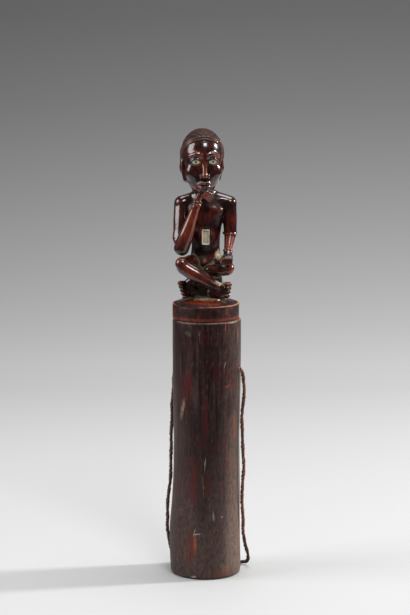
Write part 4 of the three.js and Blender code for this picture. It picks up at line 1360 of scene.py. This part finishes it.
def eye_clay(add, place):
    """White clay, stained and uneven, with a dark pupil painted at the middle of each eye."""
    clay = add("ramp", add("noise", place, per(0.9), 4, 0.7), stops=((0.3, "a8a184"), (0.7, "e3dfca")))
    return {"Base Color": with_pupils(add, place, clay), "Roughness": 0.6}


def old_glass(add, place, dark, light, roughness, clearness):
    """Old hand-made glass, a little uneven in tint and in surface."""
    cloud = add("noise", place, per(2.2), 4, 0.65)
    return {
        "Base Color": add("ramp", cloud, stops=((0.35, dark), (0.65, light))),
        "Roughness": roughness,
        "Transmission Weight": clearness,
        "IOR": 1.48,
        "Normal": add("bump", cloud, 0.12 * MM, 0.4),
    }


def eye_glass(add, place):
    """Thin clear glass, with the pupil under it drawn on it too, because little light gets through."""
    glass = old_glass(add, place, "c6c4ac", "eceadb", 0.06, 0.25)
    return {**glass, "Base Color": with_pupils(add, place, glass["Base Color"])}


def belly_pane(add, place):
    """Clouded cream glass, dull from age."""
    return old_glass(add, place, "d8caa6", "f6efdc", 0.22, 0.2)


def bone(add, place):
    """Old bone: cream with upright fibre lines, with painted shade in brown at the top and on the +X side."""
    fibres = add("noise", add("stretch", place, (1, 1, 0.12)), per(0.5), 4, 0.6)
    cream = add("ramp", fibres, stops=((0.35, "ddd0b4"), (0.6, "fbf3e0")))
    shifted = ragged(add, place, 1.6, 1.8)
    # The top and the +X side of the frame are painted brown as painted shade.
    for axis, low, high, code in (("X", 0.0016, 0.0036, "6e5239"), ("Z", 0.3075, 0.311, "84694b")):
        cream = add("layer", cream, code, add("spread", add("apart", shifted, output=axis), low, high, 0, 0.6))
    return {"Base Color": cream, "Roughness": 0.42, "Normal": add("bump", fibres, 0.06 * MM, 0.6)}


def resin(add, place):
    """Dark granular resin mixed with earth."""
    grains = add("noise", place, per(0.8), 5, 0.75)
    return {
        "Base Color": add("ramp", grains, stops=((0.35, "574526"), (0.65, "a5945f"))),
        "Roughness": 0.8,
        "Normal": add("bump", grains, 0.3 * MM, 0.8),
    }


# The sheet is pale on the floor, and painted shade darkens it evenly up the sweep, as shares of its length.
PAPER_TONES = [(0.04, "b7b7b7"), (0.25, "b4b4b4"), (0.35, "919191"), (0.4, "7a7a7a"), (0.44, "6a6a6a")]


def studio_paper(add, place):
    """Matt paper that is pale on the floor, with painted shade that darkens it up the sweep."""
    tooth = add("noise", place, per(3), 3, 0.6)
    return {
        "Base Color": add("ramp", add("attribute", attribute_name="climb"), stops=PAPER_TONES),
        "Roughness": 0.9,
        "Normal": add("bump", tooth, 0.05 * MM, 0.3),
    }


# Each finish with the body and the material slot of the pieces that it dresses.
for body_name, slot_name, finish_name, look, pieces in (
    ("lid", "figure_wood", "oiled red hardwood", figure_wood, [figure_piece]),
    ("lid", "eye_clay", "painted white clay", eye_clay, eye_beds),
    ("lid", "eye_glass", "thin clear glass", eye_glass, eye_glasses),
    ("lid", "belly_collar", "old bone", bone, [collar]),
    ("lid", "belly_glass", "clouded glass", belly_pane, [belly_glass]),
    ("lid", "belly_charge", "resin and earth", resin, [charge]),
    ("container", "box_wood", "worn dark hardwood", box_wood, [box]),
    ("container", "cord", "twisted plant fibre", cord_fibre, [cord, *cord_knots]),
):
    finish = make_finish(finish_name, look)
    for piece in pieces:
        piece.data.materials.clear()
        piece.data.materials.append(finish)
        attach(piece, body_name)


# The studio: a pale sheet that sweeps up behind, a low key light at the right, and softer ones round it.
# Sizes in metres.
SWEEP_LENGTH = 5.55
SWEEP_RADIUS = 1.3
SWEEP_SIDES = (-0.62, 0.78)
FLOOR_FRONT = -0.35
FLOOR_BACK = 0.9
WALL_HEIGHT = 2.4
WALL_LEAN = 0.35


def make_sweep():
    """The sheet as an upright profile drawn across, with how far along it each point is kept for its finish."""
    profile = [(FLOOR_FRONT, 0), (0, 0), (FLOOR_BACK, 0)]
    for angle in np.radians(np.linspace(0, 82, 20)):
        profile.append((FLOOR_BACK + SWEEP_RADIUS * math.sin(angle), SWEEP_RADIUS * (1 - math.cos(angle))))
    profile.append((profile[-1][0] + WALL_LEAN, profile[-1][1] + WALL_HEIGHT))
    points = [(x * 1000, y * 1000, z * 1000) for x in SWEEP_SIDES for y, z in profile]
    count = len(profile)
    piece = make_piece("sweep", points, [(i, i + count, i + 1 + count, i + 1) for i in range(count - 1)])
    lengths = np.linalg.norm(np.diff(np.array(profile), axis=0), axis=1)
    keep_values(piece, "climb", np.tile(np.concatenate([[0], np.cumsum(lengths)]) / SWEEP_LENGTH, 2))
    return piece


sweep = make_sweep()
sweep.data.materials.append(make_finish("studio paper with painted shade", studio_paper))

# Each light's place, what it looks at, its size and its power.
for name, place, target, size, power in (
    ("key at the right", (1.733, 0.337, 1.05), (0, 0, 0.15), (0.18, 0.18), 40),
    ("overhead softbox", (0.15, 0.2, 1.75), (0, 0, 0.2), (1.1, 0.9), 24),
    ("left softbox", (-1.16, -0.21, 0.84), (0, 0, 0.4), (0.7, 0.8), 12),
    ("top front", (0.5, -1.35, 1.72), (0, 0, 0.32), (0.6, 0.45), 17),
):
    data = bpy.data.lights.new(name, "AREA")
    data.shape = "RECTANGLE"
    data.size, data.size_y = size
    data.energy = power
    light = bpy.data.objects.new(name, data)
    light.location = place
    light.rotation_euler = (Vector(target) - Vector(place)).to_track_quat("-Z", "Y").to_euler()
    scene.collection.objects.link(light)

world = bpy.data.worlds.new("studio air")
world.use_nodes = True
world.node_tree.nodes["Background"].inputs["Color"].default_value = colour("c8c8c8")
world.node_tree.nodes["Background"].inputs["Strength"].default_value = 0.13
scene.world = world
scene.view_settings.view_transform = "Standard"
